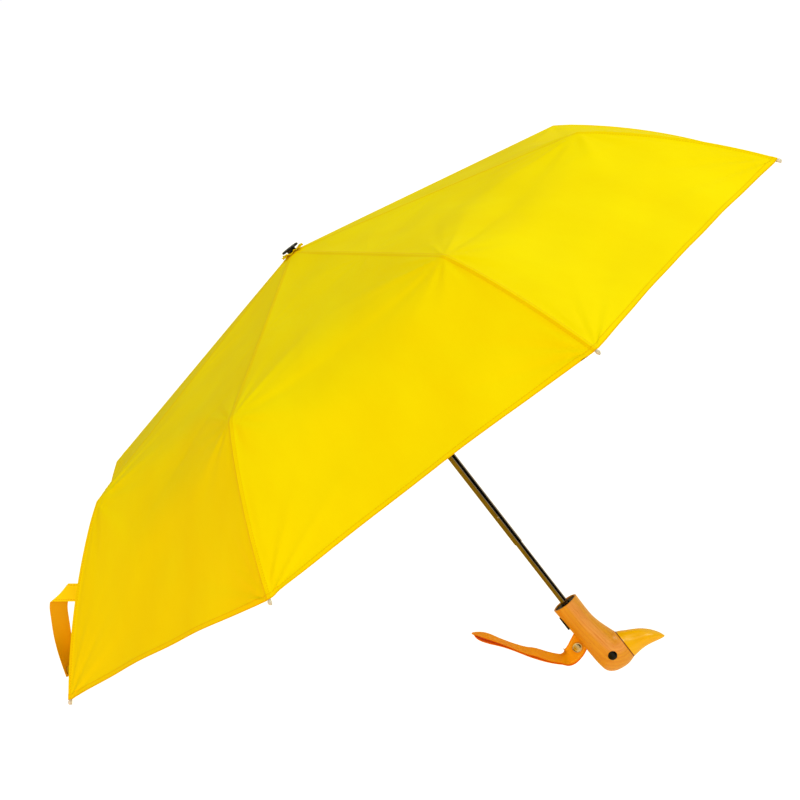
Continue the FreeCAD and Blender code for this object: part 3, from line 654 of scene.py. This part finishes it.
def make_canopy():
    """Every gore is cut along its ribs' joints, so that each strip rides on the link under it.
    At rest the strips meet in one surface. As the ribs fold, each gathers onto its own link."""
    middle = HALF_COLUMNS
    for number, layers in enumerate(make_gores()):
        for side, columns in (("left", slice(0, middle + 1)), ("right", slice(middle, None))):
            rib = number if side == "left" else (number + 1) % RIBS
            edge = 0 if side == "left" else -1
            for ring, under in enumerate(LINKS):
                rows = slice(RING_ROWS[ring], RING_ROWS[ring + 1] + 1)
                part, normals, cloth, seam = (layer[rows, columns] for layer in layers)
                thickness = CLOTH + HEM_CLOTH * np.clip((HEM_FOLD - seam[..., 1]) / 0.001, 0, 1)
                strip = cloth_shell(f"canopy_{under}_{rib + 1}_{side}", part, normals, cloth, seam,
                                    thickness, "canopy_fabric", f"{under}_{rib + 1}")
                rib_line = part[-1, edge] - part[0, edge]
                rib_line = rib_line / np.linalg.norm(rib_line)
                across = part[-1, -1 - edge] - part[-1, edge]
                across = across - rib_line * np.dot(across, rib_line)
                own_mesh(strip)
    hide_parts("canopy")


make_canopy()


# ---- rosette and cap
def make_rosette():
    """A small pinked disc of canopy cloth, ruffled at its edge, under the cap."""
    radius, hole, teeth = 0.0138, 0.0046, 26
    segments, rings = teeth * 8, 12
    phases = np.random.default_rng(7).uniform(0, 2 * math.pi, 3)
    turn = np.linspace(0, 2 * math.pi, segments, endpoint=False)
    saw = np.abs((turn * teeth / (2 * math.pi)) % 1 - 0.5) * 2
    edge = radius * (1 - 0.055 * saw)
    share = np.linspace(0, 1, rings) ** 0.8
    ruffle = (0.5 * np.sin(7 * turn + phases[0]) + 0.5 * np.sin(11 * turn + phases[1])
              + 0.3 * np.sin(16 * turn + phases[2]))
    points = []
    for step in share:
        reach = hole + (edge - hole) * step
        z = up(574.4) + (0.0007 + 0.0017 * ruffle * step) * step ** 0.7
        points.append(np.stack([reach * np.cos(turn), reach * np.sin(turn), z], -1))
    top = np.array(points)
    thickness = 0.00035
    vertices = np.concatenate([top.reshape(-1, 3), (top - [0, 0, thickness]).reshape(-1, 3)])
    count = rings * segments
    faces = grid_faces(rings, segments, 0, wrap=True)
    under = faces[:, ::-1] + count
    around = np.arange(segments)
    following = (around + 1) % segments
    last = (rings - 1) * segments
    inner_rim = np.stack([around, around + count, following + count, following], -1)
    outer_rim = np.stack([last + around, last + following, last + following + count,
                          last + around + count], -1)
    made = add_object("rosette_disc", vertices, np.concatenate([faces, under, inner_rim, outer_rim]),
                      "canopy_fabric", "upper_shaft", angle=50)
    face_outward(made.data)
    places = vertex_places(made.data)
    store_uv(made.data, "cloth", places[:, :2])
    away = radius - np.hypot(places[:, 0], places[:, 1])
    store_uv(made.data, "seam", np.stack([np.full(len(away), 0.05), away + 0.0012], -1))
    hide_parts("rosette")


make_rosette()
cap = lathe("cap_disc", [(0, 12.0), (2.0, 12.0), (4.6, 12.0), (5.0, 12.3), (5.0, 14.4), (9.3, 14.45),
                         (9.85, 14.7), (10.0, 15.2), (10.0, 15.9), (9.8, 16.45), (9.3, 16.8),
                         (8.6, 16.95), (5.2, 17.0), (4.9, 16.8), (4.4, 16.75), (4.1, 17.0),
                         (1.6, 17.0), (0.7, 17.0), (0, 17.0)],
            (0, 0, up(563.0)), (0, 0, 1), "gloss_black", "upper_shaft", segments=96)
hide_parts("top_cap")


# ---- handle
# each station of the head and neck: x and height of the back, x and height of the front, half width
HANDLE_STATIONS = [
    (-14.7, 96.7, 14.7, 96.7, 14.7), (-14.3, 88, 14.6, 88, 14.5), (-13.8, 78, 14.6, 78, 14.3),
    (-13.2, 66, 15.1, 68, 14.1), (-12.7, 54, 16.6, 60, 14.0), (-12.4, 42, 18.2, 54, 14.0),
    (-12.0, 30, 19.7, 49.2, 14.2), (-11.2, 19, 20.9, 45.8, 14.6), (-8.9, 9.6, 21.8, 43.2, 14.9),
    (-2.5, 3.9, 22.6, 41.0, 15.1), (6.0, 1.5, 23.1, 39.5, 15.2), (15.0, 1.2, 23.5, 38.3, 15.0),
    (23.7, 3.5, 23.7, 37.4, 14.6)]
# each station of the beak: x, height of the bottom and of the top, half width
BEAK_STATIONS = [
    (23.7, 3.5, 37.4, 14.6), (28.5, 4.1, 35.0, 13.9), (33.4, 4.5, 32.0, 13.0), (38.0, 4.6, 29.4, 12.2),
    (42.7, 4.2, 26.6, 11.5), (47.0, 3.4, 23.7, 10.9), (51.0, 2.5, 20.3, 10.2), (54.5, 1.6, 16.8, 9.2),
    (57.8, 0.8, 12.6, 7.7), (60.4, 0.3, 8.6, 5.8), (62.3, 0.15, 5.0, 3.7), (63.1, 0.35, 2.6, 1.6)]
SEAM_X = 0.0237
EYE_PLACE = (0.0056, 0, up(22.3))
EYE_SEAT, EYE_SEAT_DEPTH = 0.00505, 0.0126
BUTTON_Z = up(79.0)
RING_POINTS = 96


def seam_attribute(mesh):
    """Stores each point's distance from the seam between head and beak."""
    places = vertex_places(mesh)
    distance = np.abs(places[:, 0] - SEAM_X)
    mesh.attributes.new("from_seam", "FLOAT", "POINT").data.foreach_set("value", distance)
    return places


def cut_away(target, cutters):
    """Cuts the cutters out of the target's mesh and removes them."""
    for cutter in cutters:
        change = target.modifiers.new("cut", "BOOLEAN")
        change.object, change.operation, change.solver = cutter, "DIFFERENCE", "EXACT"
    bpy.context.view_layer.update()
    evaluated = target.evaluated_get(bpy.context.evaluated_depsgraph_get())
    mesh = bpy.data.meshes.new_from_object(evaluated)
    for thing in (target, *cutters):
        bpy.data.objects.remove(thing, do_unlink=True)
    return mesh


def solid_mesh(name, bm):
    mesh = bpy.data.meshes.new(name)
    bmesh.ops.recalc_face_normals(bm, faces=bm.faces)
    bm.to_mesh(mesh)
    bm.free()
    return mesh


def cutter_cylinder(radius, low, high, centre, axis="Z"):
    bm = bmesh.new()
    bmesh.ops.create_cone(bm, cap_ends=True, segments=96, radius1=radius, radius2=radius,
                          depth=high - low)
    bmesh.ops.translate(bm, verts=bm.verts, vec=(0, 0, (low + high) / 2))
    if axis == "Y":
        bmesh.ops.rotate(bm, verts=bm.verts, matrix=Matrix.Rotation(math.radians(-90), 3, "X"))
    bmesh.ops.translate(bm, verts=bm.verts, vec=centre)
    return link("cutter", solid_mesh("cutter", bm))


def capsule_rings(sections):
    """Rings of the button's upright round-ended slot: a section is (x, half width, half length)."""
    segments = 72
    turn = np.linspace(0, 2 * math.pi, segments, endpoint=False)
    rings = []
    for x, half, reach in sections:
        z = half * np.sin(turn) + np.sign(np.sin(turn)) * (reach - half)
        rings.append(np.stack([np.full(segments, x), half * np.cos(turn), z + BUTTON_Z], -1))
    return np.array(rings)


def ring_solid(rings):
    """A closed bmesh through rings of points, with a flat face at each end."""
    bm = bmesh.new()
    made = [[bm.verts.new(point) for point in ring] for ring in rings]
    count = len(made[0])
    for lower, higher in zip(made, made[1:]):
        for step in range(count):
            following = (step + 1) % count
            bm.faces.new((lower[step], lower[following], higher[following], higher[step]))
    bm.faces.new(made[0])
    bm.faces.new(made[-1])
    return bm


def section_ring(low, high, half_width, dent=0.0):
    """An oval between two points of the middle plane, with an optional hollow above its sides."""
    turn = np.linspace(0, 2 * math.pi, RING_POINTS, endpoint=False)
    reach = 1 - dent * (bell(turn - 0.95, 0.34) + bell(turn - (2 * math.pi - 0.95), 0.34))
    low, high = np.array(low), np.array(high)
    centre, half = (low + high) / 2, (high - low) / 2
    ring = np.zeros((RING_POINTS, 3))
    ring[:, 0] = centre[0] + half[0] * np.cos(turn) * reach
    ring[:, 2] = centre[1] + half[1] * np.cos(turn) * reach
    ring[:, 1] = half_width * np.sin(turn) * reach
    return ring


def make_handle():
    """Turned and carved wood, hollow at the mouth, with seats for the eyes and the button."""
    stations = smooth_curve(HANDLE_STATIONS, 72)
    rings = []
    for x_low, h_low, x_high, h_high, half in stations:
        rings.append(section_ring((x_low * MM, up(h_low)), (x_high * MM, up(h_high)), half * MM))
    # soften both ends: a small round at the mouth and a fine chamfer at the seam
    mouth, seam = rings[0], rings[-1]
    mouth_centre, seam_centre = mouth.mean(axis=0), seam.mean(axis=0)
    first = mouth_centre + (mouth - mouth_centre) * 0.968
    first[:, 2] = up(97.0)
    second = mouth_centre + (mouth - mouth_centre) * 0.99
    second[:, 2] = up(96.85)
    last = seam_centre + (seam - seam_centre) * 0.972
    rings[-1] = rings[-1] - [0.0003, 0, 0]
    rings = [first, second] + rings + [last]
    body = link("handle_blank", solid_mesh("handle_blank", ring_solid(rings)))
    button = capsule_rings([(-0.024, 0.0043, 0.0088), (-0.0072, 0.0043, 0.0088)])
    cutters = [cutter_cylinder(0.0129, up(89.8), up(120), (0, 0, 0)),
               cutter_cylinder(0.006, up(60), up(120), (0, 0, 0)),
               link("cutter", solid_mesh("cutter", ring_solid(button))),
               cutter_cylinder(EYE_SEAT, EYE_SEAT_DEPTH, 0.03, EYE_PLACE, "Y"),
               cutter_cylinder(EYE_SEAT, -0.03, -EYE_SEAT_DEPTH, EYE_PLACE, "Y")]
    mesh = cut_away(body, cutters)

    # grain coordinates: distance along the bent middle line, then the two ways across it
    places = seam_attribute(mesh)
    middle = np.array([[(s[0] + s[2]) / 2 * MM, (up(s[1]) + up(s[3])) / 2] for s in stations])
    travel = travelled(middle)
    flat = places[:, [0, 2]]
    nearest = np.argmin(np.linalg.norm(flat[:, None] - middle[None], axis=-1), axis=1)
    direction = unit(np.gradient(middle, axis=0))
    offset = flat - middle[nearest]
    along = travel[nearest] + (offset * direction[nearest]).sum(axis=1)
    sideways = offset[:, 0] * direction[nearest, 1] - offset[:, 1] * direction[nearest, 0]
    grain = np.stack([along, sideways, places[:, 1]], -1)
    mesh.attributes.new("grain", "FLOAT_VECTOR", "POINT").data.foreach_set("vector", grain.ravel())
    made = add_mesh("handle_wood", mesh, "wood", "handle", angle=38)
    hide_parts("handle_body")


make_handle()


def make_beak():
    """Lacquered bill: an oval at the seam that flattens and narrows to a down-turned tip."""
    stations = smooth_curve(BEAK_STATIONS, 60)
    first_x, last_x = stations[0][0], stations[-1][0]
    rings = []
    for x, low, high, half in stations:
        share = (x - first_x) / (last_x - first_x)
        dent = 0.075 * math.sin(math.pi * min(1, share * 1.15 + 0.08)) ** 0.8
        rings.append(section_ring((x * MM, up(low)), (x * MM, up(high)), half * MM, dent))
    seam = rings[0]
    centre = seam.mean(axis=0)
    rings[0] = rings[0] + [0.0003, 0, 0]
    rings.insert(0, centre + (seam - centre) * 0.975)
    tip = rings[-1].mean(axis=0)
    rings.append(tip + (rings[-1] - tip) * 0.5 + [0.0004, 0, -0.0001])
    mesh = solid_mesh("beak_bill", ring_solid(rings))
    seam_attribute(mesh)
    made = add_mesh("beak_bill", mesh, "beak_lacquer", "handle", angle=60)
    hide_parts("beak")


make_beak()


def make_button():
    """Release button: a round-ended slot with a soft rim and a shallow thumb hollow."""
    half, reach = 0.0040, 0.0085
    sections = [(-0.0092, half, reach), (-0.0142, half, reach), (-0.0147, half * 0.985, reach - 0.0001),
                (-0.01505, half * 0.95, reach - 0.0003), (-0.0152, half * 0.88, reach - 0.0006),
                (-0.0152, half * 0.76, reach - 0.001), (-0.01505, half * 0.6, reach - 0.0016),
                (-0.0149, half * 0.3, reach - 0.0028), (-0.01485, half * 0.08, reach - 0.0036)]
    mesh = solid_mesh("button_cap", ring_solid(capsule_rings(sections)))
    made = add_mesh("button_cap", mesh, "black_plastic", "push_button", angle=40)
    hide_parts("push_button")


make_button()

for side, sign in (("left", -1), ("right", 1)):
    eye = lathe(f"eye_{side}", [(0, 12.7), (4.9, 12.7), (5.0, 12.8), (5.0, 14.3), (4.9, 14.75),
                                (4.6, 15.1), (4.0, 15.35), (3.0, 15.5), (1.5, 15.58), (0, 15.6)],
                EYE_PLACE, (0, sign, 0), "gloss_black", "handle")
    if side == "left":
        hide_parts("eyes")


# ---- ribbons
def ribbon(name, path, widths, width, thickness, cup, material, body):
    """A strip of cloth of constant width along a path. widths are the directions across it."""
    rows, columns = len(path), 9
    widths = unit(widths)
    normal = unit(np.cross(unit(np.gradient(path, axis=0)), widths))
    share = np.linspace(-0.5, 0.5, columns)
    points = path[:, None] + widths[:, None] * (share * width)[None, :, None]
    points = points + normal[:, None] * (cup * (1 - (2 * share) ** 2))[None, :, None]
    travel = travelled(path)
    cloth = np.stack(np.broadcast_arrays((share * width)[None, :], travel[:, None]), -1)
    edge = np.broadcast_to((0.5 - np.abs(share)) * width, (rows, columns))
    seam = np.stack([edge, np.broadcast_to(travel[:, None], (rows, columns))], -1)
    normals = np.broadcast_to(normal[:, None], points.shape).copy()
    points = points + normals * thickness / 2
    made = cloth_shell(name, points, normals, cloth, seam, np.full((rows, columns), thickness),
                       material, body)
    return made, float(travel[-1])


def make_wrist_strap():
    """One ribbon: out and down beside the grip, folded over into the flat hand loop, and back."""
    width, thickness, cup = 0.020, 0.0009, 0.0003
    length_of_turn, turn_start, tip_length = 0.016, -0.0255, 0.022
    # the middle line of the upper ply, then the lower ply back: x and height
    upper_ply = [(-4.8, 57.1), (-14.4, 52.6), (-24.9, 48.2), (-32.9, 48.6), (-39.6, 50.6), (-48.9, 60.6),
                 (-57.6, 73.6), (-64.0, 81.0), (-69.8, 89.6), (-78.8, 104.8), (-87.6, 119.8), (-95.6, 129.4)]
    turned = [(-98.8, 131.4)]
    lower_ply = [(-97.2, 126.0), (-89.9, 115.6), (-79.9, 102.0), (-70.4, 87.6), (-64.6, 78.6), (-60.4, 72.8),
                 (-54.0, 64.2), (-46.6, 55.2), (-39.4, 48.0), (-33.0, 46.8), (-24.8, 46.8), (-14.4, 51.2),
                 (-4.8, 55.9)]
    gaps = [-0.8] * 4 + [-0.3] + [0] * 18 + [0.3, 0.8, 0.8]
    outline = np.array(upper_ply + turned + lower_ply)
    gaps = np.interp(np.linspace(0, 1, len(outline)), np.linspace(0, 1, len(gaps)), gaps)
    path = np.column_stack([outline[:, 0], gaps, outline[:, 1] - GRIP_HEIGHT]) * MM
    path = smooth_curve(path, 280)
    # the width stands square to the root arm's fall, and lies nearly level in the loop
    lift, loop_lean, tip_lean, sway = math.radians(57.0), math.radians(12.0), math.radians(18.0), 0.10
    along, over = np.array([-math.cos(lift), math.sin(lift)]), np.array([math.sin(lift), math.cos(lift)])
    turn = np.clip((turn_start - path[:, 0]) / length_of_turn, 0, 1)
    turn = turn * turn * (3 - 2 * turn)
    reach = (path[:, [0, 2]] - path[0, [0, 2]]) @ along
    at_tip = np.clip((reach - reach.max() + tip_length) / tip_length, 0, 1) ** 2
    lean = loop_lean + sway * np.sin(reach * 60.0) * (1 - at_tip) - tip_lean * at_tip
    angle = turn * (math.pi / 2 - lean)
    root_width = np.array([-0.441, 0, 0.898])
    loop_width = np.array([over[0], 0, over[1]])
    upright = root_width * (1 - turn)[:, None] + loop_width * turn[:, None]
    widths = unit(upright) * np.cos(angle)[:, None] + np.array([0, 1, 0]) * np.sin(angle)[:, None]
    made, length = ribbon("wrist_strap_ribbon", path, widths, width, thickness, cup, "band_fabric",
                          "handle")
    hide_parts("wrist_strap")


make_wrist_strap()


def make_tie_band():
    """The band that ties the folded canopy: it stands out of the cloth beside a rib, is folded over
    at 45 degrees, and comes down to lie on the cloth again."""
    width, thickness, first, second, fold_radius = 0.0185, 0.0005, 0.0215, 0.088, 0.0007
    swing_start, swing_margin, swing_angle = 0.012, 0.018, math.radians(84.0)
    bow, bow_length = 0.0165, 0.080
    outward, down, behind = (np.array(v) for v in
                             ((-0.790, 0.078, 0.608), (-0.613, -0.101, -0.783), (0, 0.992, -0.128)))
    corner = np.array([-0.4003, -0.095, 0.3905])
    rows, columns = 150, 13
    share = np.linspace(-0.5, 0.5, columns)
    s = np.broadcast_to(np.linspace(0, first + second, rows)[:, None], (rows, columns))
    t = np.broadcast_to(share[None] * width, (rows, columns))
    past = (s - first - t) / math.sqrt(2)
    half_turn = math.pi * fold_radius
    wrapped = np.clip(past, 0, half_turn) / fold_radius
    reached = np.where(past < 0, past, fold_radius * np.sin(wrapped) - np.clip(past - half_turn, 0, None))
    depth = fold_radius * (1 - np.cos(wrapped))
    out = s - first + (reached - past) / math.sqrt(2)
    fall = t - (reached - past) / math.sqrt(2)

    # below the fold the strip swings in to the cloth, and its inner edge turns back along it
    returned = np.clip(past / half_turn, 0, 1)
    below = np.clip(fall - width / 2, 0, None) * returned
    outer_edge = width / 2
    inset = (outer_edge - out) * returned
    easing = np.clip((below - swing_start) / (second - swing_margin), 0, 1)
    swing = swing_angle * easing * easing * (3 - 2 * easing)
    out = np.where(returned > 0, out + inset * (1 - np.cos(swing)), out)
    depth = depth + inset * np.sin(swing)
    out = out - bow * (below / bow_length) ** 1.8
    out = out + 0.0012 * np.sin(s * 190.0) * np.exp(-((s - first) / 0.02) ** 2)
    points = (corner + out[..., None] * outward + fall[..., None] * down + depth[..., None] * behind)
    along, across = np.gradient(points, axis=0), np.gradient(points, axis=1)
    normals = unit(np.cross(along, across))
    seam = np.stack([(0.5 - np.abs(share)) * width + 0 * s, s], -1)
    made = cloth_shell("tie_band_strip", points, normals, np.stack([t, s], -1), seam,
                       np.full((rows, columns), thickness), "tie_band_fabric", "outer_rib_5")
    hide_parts("tie_band")
    end, facing = points[-9, columns // 2], normals[-9, columns // 2]
    stud = lathe("tie_band_stud", [(0, -0.9), (4.0, -0.9), (4.3, -0.6), (4.3, 0.2), (3.9, 0.6), (2.2, 0.9),
                                   (0, 1.0)],
                 end - facing * 0.0012, facing, "snap_brass", "outer_rib_5", segments=48)
    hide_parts("tie_band_snap")
    for piece in (made, stud):
        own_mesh(piece)


make_tie_band()


# ---- small metal parts
def snap(name, centre, axis, spacing, body, *nodes):
    """Snap fastener: a domed cap with a rolled rim on one face, the ring socket on the other."""
    half = spacing / 2
    cap_profile = [(0, half), (5.2, half), (5.5, half + 0.25), (5.5, half + 0.7), (5.2, half + 1.0),
                   (4.7, half + 1.05), (4.3, half + 0.85), (3.6, half + 1.0), (2.2, half + 1.2),
                   (0, half + 1.25)]
    socket_profile = [(0, -half - 0.3), (1.3, -half - 0.3), (1.6, -half - 0.9), (2.6, -half - 0.95),
                      (3.0, -half - 0.6), (3.8, -half - 0.6), (4.1, -half - 0.85), (4.4, -half - 0.8),
                      (4.5, -half - 0.4), (4.4, -half), (0, -half)]
    cap_piece = lathe(name + "_cap", cap_profile, centre, axis, "snap_brass", body)
    lathe(name + "_socket", socket_profile, centre, axis, "snap_brass", body)
    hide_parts(*nodes)


snap("strap_snap", (-0.0192, 0, up(50.0)), (0, -1, 0), 3.2, "handle", "strap_snap")

lathe("lock_stud", [(0, 4.3), (1.1, 4.3), (1.15, 4.75), (0.95, 5.0), (0.5, 5.12), (0, 5.15)],
      (0, 0, up(216.0)), (-0.12, -0.99, 0), "spring_steel", "middle_shaft", segments=32)


def make_tip_beads():
    """The clear bead on the end of each outer rib that the cloth's corner is tied to."""
    run, fall = HEM_RADIUS - KNEE_RADIUS, HEM_Z - KNEE_Z
    length = math.hypot(run, fall)
    profile = [(0, -7.0), (1.15, -7.0), (1.35, -6.6), (1.35, -1.6), (1.75, -1.0), (2.1, 0.0), (2.15, 0.9),
               (1.9, 2.0), (1.3, 2.8), (0.6, 3.2), (0, 3.3)]
    for number in range(RIBS):
        turned = rib_azimuth(number)
        axis = Vector((math.cos(turned) * run, math.sin(turned) * run, fall)) / length
        corner = Vector((HEM_RADIUS * math.cos(turned), HEM_RADIUS * math.sin(turned), HEM_Z))
        bead = lathe(f"tip_bead_{number + 1}", profile, corner - Vector((0, 0, 0.0017)), axis,
                     "clear_plastic", f"outer_rib_{number + 1}", segments=40)
        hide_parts(f"rib_tip_{number + 1}")


make_tip_beads()


# ---- carried-over CAD nodes
NODE_FINISH = {
    "lower_tube": "shaft_chrome", "middle_tube": "shaft_chrome", "upper_tube": "shaft_chrome",
    "opening_spring": "spring_steel", "crown": "black_plastic", "runner": "black_plastic",
    "crown_ring": "spring_steel", "handle_liner": "black_plastic",
}
for number in range(1, RIBS + 1):
    for member in (*LINKS, "stretcher"):
        NODE_FINISH[f"{member}_{number}"] = "rib_steel"

for name, finish in NODE_FINISH.items():
    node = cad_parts[name]
    if not node.material_slots:
        node.data.materials.append(MATERIALS[finish])
    for material_slot in node.material_slots:
        material_slot.material = MATERIALS[finish]


# ---- floor and light
BRIGHT_SIDE = (0.52, -0.78, 0.36)
WORLD_RANGE, WORLD_SEEN, WORLD_TINT = (0.28, 0.93), 1.02, (1.02, 0.97, 0.78, 1)
FLOOR_Z, FLOOR_SEEN, FLOOR_LIGHT = -0.9, (0.62, 0.62, 0.62, 1), (0.30, 0.17, 0.07, 1)
CARD_DISTANCE, CARD_BOTTOM = 1.6, -0.85


def make_floor():
    """A wide plain white floor, well below the held umbrella, that throws up a little warm light."""
    g = Graph("floor_white", Roughness=0.9, Specular_IOR_Level=0.1)
    soft = g.noise(g.place(), 1.5, 2.0)
    base = g.ramp(soft, (0.3, (0.9, 0.9, 0.9, 1)), (0.7, (0.94, 0.94, 0.94, 1)))
    seen = g.new("LightPath").outputs["Is Camera Ray"]
    glow = g.mix(seen, FLOOR_LIGHT, FLOOR_SEEN)
    material = g.finish(Base_Color=base, Emission_Color=glow, Emission_Strength=1.0)
    bm = bmesh.new()
    bmesh.ops.create_circle(bm, cap_ends=True, segments=96, radius=40.0)
    mesh = bpy.data.meshes.new("floor")
    bm.to_mesh(mesh)
    bm.free()
    mesh.materials.append(material)
    floor = link("floor", mesh)
    floor.location = (0, 0, FLOOR_Z)


def make_world():
    """White surroundings, seen as white but dimmer as a light, and stronger from the front right."""
    world = bpy.data.worlds.new("studio")
    world.use_nodes = True
    nodes, links = world.node_tree.nodes, world.node_tree.links
    background = nodes["Background"]
    facing = nodes.new("ShaderNodeVectorMath")
    facing.operation = "DOT_PRODUCT"
    links.new(nodes.new("ShaderNodeTexCoord").outputs["Generated"], facing.inputs[0])
    facing.inputs[1].default_value = BRIGHT_SIDE
    light = nodes.new("ShaderNodeMapRange")
    links.new(facing.outputs["Value"], light.inputs["Value"])
    light.inputs["From Min"].default_value = -1.0
    light.inputs["To Min"].default_value, light.inputs["To Max"].default_value = WORLD_RANGE
    camera_ray = nodes.new("ShaderNodeLightPath").outputs["Is Camera Ray"]
    tint = nodes.new("ShaderNodeMix")
    tint.data_type = "RGBA"
    links.new(camera_ray, tint.inputs[0])
    tint.inputs[6].default_value, tint.inputs[7].default_value = WORLD_TINT, (1, 1, 1, 1)
    links.new(tint.outputs[2], background.inputs["Color"])
    seen = nodes.new("ShaderNodeMapRange")
    links.new(camera_ray, seen.inputs["Value"])
    links.new(light.outputs[0], seen.inputs["To Min"])
    seen.inputs["To Max"].default_value = WORLD_SEEN
    links.new(seen.outputs[0], background.inputs["Strength"])
    bpy.context.scene.world = world


def area_light(name, place, target, size, power, colour=(1, 1, 1)):
    data = bpy.data.lights.new(name, "AREA")
    data.shape, data.size, data.energy, data.color = "DISK", size, power, colour
    light = link(name, data)
    light.location = place
    light.rotation_euler = (Vector(target) - Vector(place)).to_track_quat("-Z", "Y").to_euler()


def make_card(name, start, end, high, colour):
    """A curved card around the umbrella that only reflections see, for the bands in the chrome."""
    g = Graph(name, Roughness=0.8, Specular_IOR_Level=0.0, Base_Color=(0, 0, 0, 1),
              Emission_Strength=1.0, Emission_Color=(*colour, 1))
    turns = np.radians(np.linspace(start, end, 25))
    vertices = [(CARD_DISTANCE * math.cos(a), CARD_DISTANCE * math.sin(a), z)
                for z in (CARD_BOTTOM, high) for a in turns]
    mesh = bpy.data.meshes.new(name)
    mesh.from_pydata(vertices, [], [tuple(map(int, f)) for f in grid_faces(2, len(turns))])
    mesh.materials.append(g.material)
    card = link(name, mesh)
    card.visible_camera = card.visible_diffuse = card.visible_shadow = False
    card.visible_transmission = False


bpy.context.scene.view_settings.view_transform = "Standard"
make_floor()
make_world()
area_light("key", (2.6, -1.5, 1.7), (0.1, 0, 0.3), 1.4, 24.0, (0.93, 1.0, 0.85))
area_light("fill", (-1.8, -1.6, 0.2), (0, 0, 0.1), 0.9, 14.0, (1.0, 0.30, 0.03))
make_card("dark_card", -80, 6, 0.55, (0.004, 0.004, 0.004))
make_card("gold_card", -240, -92, 0.25, (0.85, 0.46, 0.01))
